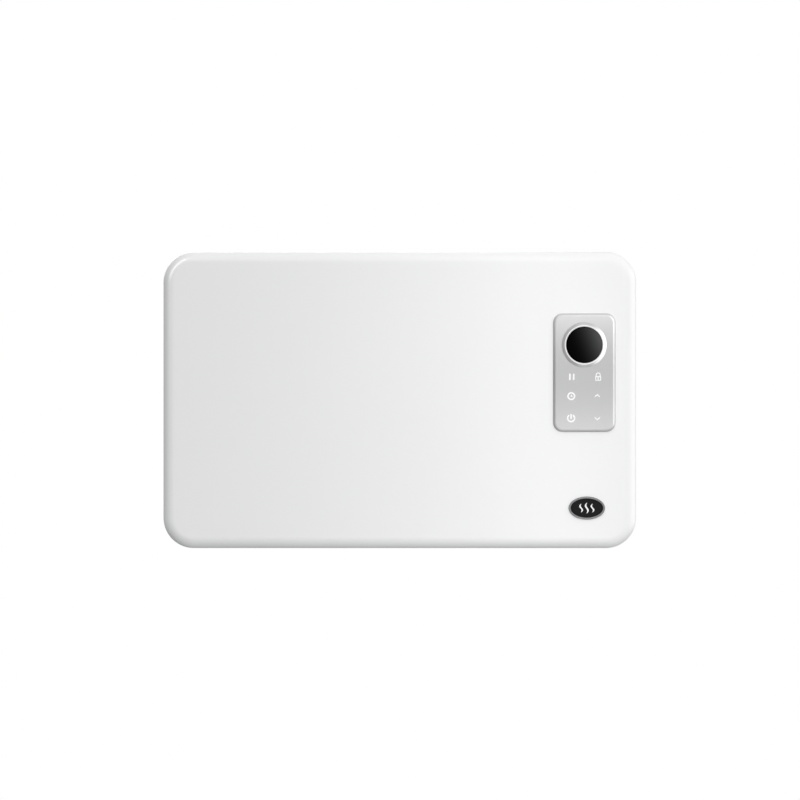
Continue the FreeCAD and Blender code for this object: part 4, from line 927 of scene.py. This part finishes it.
def smoked_glass_painted_reflection():
    """Black smoked window with a painted reflection that turns it grey towards its upper right, and a
    trace of wiping in its gloss.
    """
    made = Finish("lens_black", Specular_IOR_Level=0.01)
    across = (made.axis("X") - ring_middle.x) / lens_radius
    up = (made.axis("Z") - ring_middle.z) / lens_radius
    wipe, wiped = 9, (1, 1, 0.3)
    # painted reflection: the colour lightens from black towards the upper right of the window
    clear = 0.45 + 0.45 * across + 0.17 * up
    smoke, painted_reflection_grey = 0.0005, (0.115, 0.115, 0.116)
    made.set(Base_Color=made.blend(clear * clear * clear, smoke, painted_reflection_grey),
             Roughness=0.12 + 0.08 * made.noise(wipe, wiped))
    return made


lens_edge = 0.3 * mm
lens_dome = 0.5 * mm
rim_gap, pole_gap = 0.05, 0.1
lens_ball = (lens_radius * lens_radius + lens_dome * lens_dome) / (2 * lens_dome)
lens_reach = math.degrees(math.asin(lens_radius / lens_ball))
lens = [(lens_radius, lens_high.y), (lens_radius, lens_low.y + lens_dome + lens_edge)]
lens += arc((0, lens_low.y + lens_ball), lens_ball, lens_reach - 90 - rim_gap, pole_gap - 90, 10)
smoked_lens = turned("smoked_lens", lens, ring_middle, round_sides)
fit(smoked_lens, smoked_glass_painted_reflection(), "lens_black", "display_lens")


# Touch marks
# Six white marks printed on the fascia over the touch pads: pause, clock and power on the left, lock,
# up and down on the right. The ink stands a few hundredths of a millimetre proud.

def moved(loop, x, y):
    """An outline set off to one side."""
    return [(a + x, b + y) for a, b in loop]


def chevron(width, height, stroke, way):
    """Outline of an open arrow head that points up or down."""
    half, foot, thick = width / 2, -height / 2, stroke * 1.25
    line = [(-half, foot), (0, -foot - thick / 2), (half, foot),
            (half, foot + thick), (0, thick / 2 - foot), (-half, foot + thick)]
    return [(x, way * y) for x, y in line]


def padlock(width, height, stroke):
    """Outlines of a closed lock: a shackle over a body with a keyhole bar."""
    body = height * 0.55
    low = -height / 2 + body / 2
    shackle = width * 0.42
    top = -height / 2 + body
    inside = body - 2 * stroke
    pane = width / 2 - stroke * 1.5
    casing = moved(rounded(width, body, stroke * 0.8, 4), 0, low)
    panes = [moved(rounded(pane, inside, stroke * 0.25, 2), side * (pane + stroke) / 2, low)
             for side in (-1, 1)]
    bend, inner = (0, height / 2 - shackle), shackle - stroke
    legs = arc(bend, shackle, 0, 180, 14) + [(-shackle, top), (-inner, top)]
    legs += arc(bend, inner, 180, 0, 14) + [(inner, top), (shackle, top)]
    return [casing, legs] + panes


pause_bar, pause_reach = (2.1 * mm, 8.6 * mm), 2.4 * mm
pause = [moved(bar(*pause_bar), side * pause_reach, 0) for side in (-1, 1)]
clock_ring = (5.15 * mm, 1.9 * mm)
clock_hands = [(x * mm, y * mm) for x, y in ((-0.8, 1.9), (-0.8, -1.0), (1.8, -1.0),
                                             (1.8, 0.4), (0.7, 0.4), (0.7, 1.9))]
clock = band(*clock_ring) + [clock_hands]
power_ring, power_open = (5.4 * mm, 2.0 * mm), (122, 418)
power_bar, power_bar_rise = (1.9 * mm, 6.6 * mm), 2.1 * mm
power = band(*power_ring, *power_open) + [moved(bar(*power_bar), 0, power_bar_rise)]
lock_size = (7.5 * mm, 10.6 * mm, 1.2 * mm)
lock = padlock(*lock_size)
arrow_size = (6.8 * mm, 3.4 * mm, 1.5 * mm)
up_mark, down_mark = ([chevron(*arrow_size, way)] for way in (1, -1))
marks = ((pause, 0.6 * mm, -0.3 * mm), (lock, 1.0 * mm, 0), (clock, 0, 0), (up_mark, 0, 0),
         (power, -0.3 * mm, 0), (down_mark, 0, 0))
facing = Matrix.Rotation(math.pi / 2, 4, "X")
pads = sorted(((low + high) / 2 for low, high in solids("touch_posts")),
              key=lambda at: (-round(at.z, 4), at.x))
prints = []
for pad, (loops, aside, raised) in zip(pads, marks):
    on_pad = Matrix.Translation((pad.x + aside, fascia_front - ink_height / 2, pad.z + raised)) @ facing
    prints.append(flat_print("mark", loops, ink_height, on_pad))
fit(joined("touch_marks", prints), ink, "ring_pale")


# Badge
# An oval plate stuck on the cover: a rounded silver rim round a black enamel face. The face carries a
# plain sign for rising warmth, three waves in the metal of the rim.
silver = mottled("badge_silver", ((0.15, 0.15, 0.155), (0.25, 0.25, 0.255)), 4, (0.30, 0.42),
                 (0.4, 0.006), Metallic=0.9)
dress(silver, "badge_rim")
dress(mottled("badge_black", (0.003, (0.008, 0.008, 0.009)), 6, (0.30, 0.40),
              (0.5, 0.006), Specular_IOR_Level=0.1), "badge_face")


def warm_wave(height, sway, stroke):
    """Outline of one wave that rises and thins to rounded ends."""
    steps = 24
    edge = []
    for side in (1, -1):
        for i in range(steps + 1):
            share = i / steps if side > 0 else 1 - i / steps
            wide = stroke / 2 * (0.35 + 0.65 * math.sin(math.pi * share))
            edge.append((sway * math.sin(math.tau * share) + side * wide, (share - 0.5) * height))
    return edge


badge_low, badge_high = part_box("badge_face")
badge_middle = (badge_low + badge_high) / 2
wave_sway, wave_stroke, wave_pitch = 1.5 * mm, 2.3 * mm, 7.2 * mm
waves = [moved(warm_wave(height, wave_sway, wave_stroke), side * wave_pitch, 0)
         for side, height in ((-1, 10.5 * mm), (0, 13 * mm), (1, 10.5 * mm))]
sign_height = 0.25 * mm
sign_seat = Matrix.Translation((badge_middle.x, badge_low.y - sign_height / 2, badge_middle.z)) @ facing
pale_metal = mottled("badge_sign", (0.70, 0.82), 4, (0.26, 0.40),
                     Metallic=0.3)
sign = flat_print("badge_sign", waves, sign_height, sign_seat)
fit(sign, pale_metal, "badge_silver")


# Light, floor and camera
# A white studio: soft light all round, stronger from the upper right, a slim lamp close to the front,
# four that only draw reflections, and one behind. The camera looks straight at the front from far off.

def lamp(name, place, aim, along, size, power):
    """A soft rectangular lamp that faces a point, its first side lying along the given direction."""
    data = bpy.data.lights.new(name, "AREA")
    data.shape = "RECTANGLE"
    data.size, data.size_y = size
    data.energy = power
    away = (Vector(place) - aim).normalized()
    side = (Vector(along) - away * away.dot(Vector(along))).normalized()
    turn = Matrix((side, away.cross(side), away)).transposed()
    light = placed(name, data)
    light.matrix_world = Matrix.Translation(place) @ turn.to_4x4()
    light.visible_camera = False
    return light


def glint(name, aim, offset, along, size, power, lit=None):
    """A lamp that only draws a reflection, on one piece alone if it is given."""
    light = lamp(name, aim + Vector(offset), aim, along, size, power)
    light.visible_diffuse = False
    if lit:
        light.light_linking.receiver_collection = bpy.data.collections.new(name)
        light.light_linking.receiver_collection.objects.link(lit)


class Studio(NodeTree):
    """Light from all round that changes evenly with direction, on a white backdrop."""

    def __init__(self, level, lean):
        world = bpy.data.worlds.new("studio")
        world.use_nodes = True
        scene.world = world
        self.tree = world.node_tree
        way = self.node("ShaderNodeTexCoord", output="Generated")
        lit = level + self.node("ShaderNodeVectorMath", {0: way, 1: lean}, "Value",
                                operation="DOT_PRODUCT")
        cool, neutral = (0.93, 0.975, 1.0), 1.0
        tint = self.blend(lit * 1.5, cool, neutral)
        soft = self.node("ShaderNodeBackground", {"Color": tint, "Strength": lit})
        white = self.node("ShaderNodeBackground", {"Color": 1})
        seen = self.node("ShaderNodeLightPath", output="Is Camera Ray")
        both = self.node("ShaderNodeMixShader", {0: seen, 1: soft, 2: white})
        self.feed(self.tree.nodes["World Output"].inputs["Surface"], both)


Studio(0.67, (0.30, -0.155, 0.36))
front_aim = Vector((0.205, face, body_middle.z))
front_gap = 0.45
lamp("front_strip", front_aim - front_gap * backwards, front_aim, rightwards, (0.14, 1.6), 1.25)
corner = Vector((cover_low.x + body_corner, face, cover_high.z - body_corner))
glint("corner_strip", corner, (-2.32, -2.52, 2.08), (0.92, 0, 1), (4.0, 0.6), 150, cover)
glint("right_panel", Vector((0.25, face, body_middle.z)), (2.45, 0.3 - face, 0), upwards, (2.6, 3.6), 44)
glint("edge_light", fascia_middle, (1.488, -1.8, 0.48), (-0.40, 0, 0.58), (1.8, 0.6), 45, moulding)
glint("ring_light", ring_middle, (1.56, -1.24, -0.12), upwards, (3.6, 1.6), 70, bezel_ring)
lamp("behind", (-0.9, 3.6, 1.2), body_middle, rightwards, (2.4, 1.8), 30)

floor_drop = 0.95
floor_radius = 3.2
floor_sides = 96
floor_paint = mottled("floor_pale", (0.84, 0.88), 800, (0.6, 0.75),
                      Specular_IOR_Level=0)
underside = floor_paint.node("ShaderNodeNewGeometry", output="Backfacing")
one_way = floor_paint.node("ShaderNodeMixShader", {
    0: underside, 1: Value(floor_paint, floor_paint.shader.outputs["BSDF"]),
    2: floor_paint.node("ShaderNodeBsdfTransparent")})
floor_paint.feed(floor_paint.tree.nodes["Material Output"].inputs["Surface"], one_way)
floor = blank("floor")
floor.data.from_pydata([(x, y, -floor_drop) for x, y in disc(floor_radius, floor_sides)], [],
                       [range(floor_sides)])
softened(floor, floor_paint)
floor.visible_diffuse = floor.visible_glossy = False

photo_width, body_pixels = 800, 472.5
camera_distance, camera_x = 9.0, 0.0003
nearest_side = face + edge_round
camera_data = bpy.data.cameras.new("camera")
frame_width = body_width * photo_width / body_pixels
camera_data.lens = camera_data.sensor_width * (camera_distance + nearest_side) / frame_width
camera = placed("camera", camera_data)
camera.location = (camera_x, -camera_distance, body_middle.z)
camera.rotation_euler = (math.pi / 2, 0, 0)
scene.camera = camera
scene.view_settings.view_transform = "Standard"
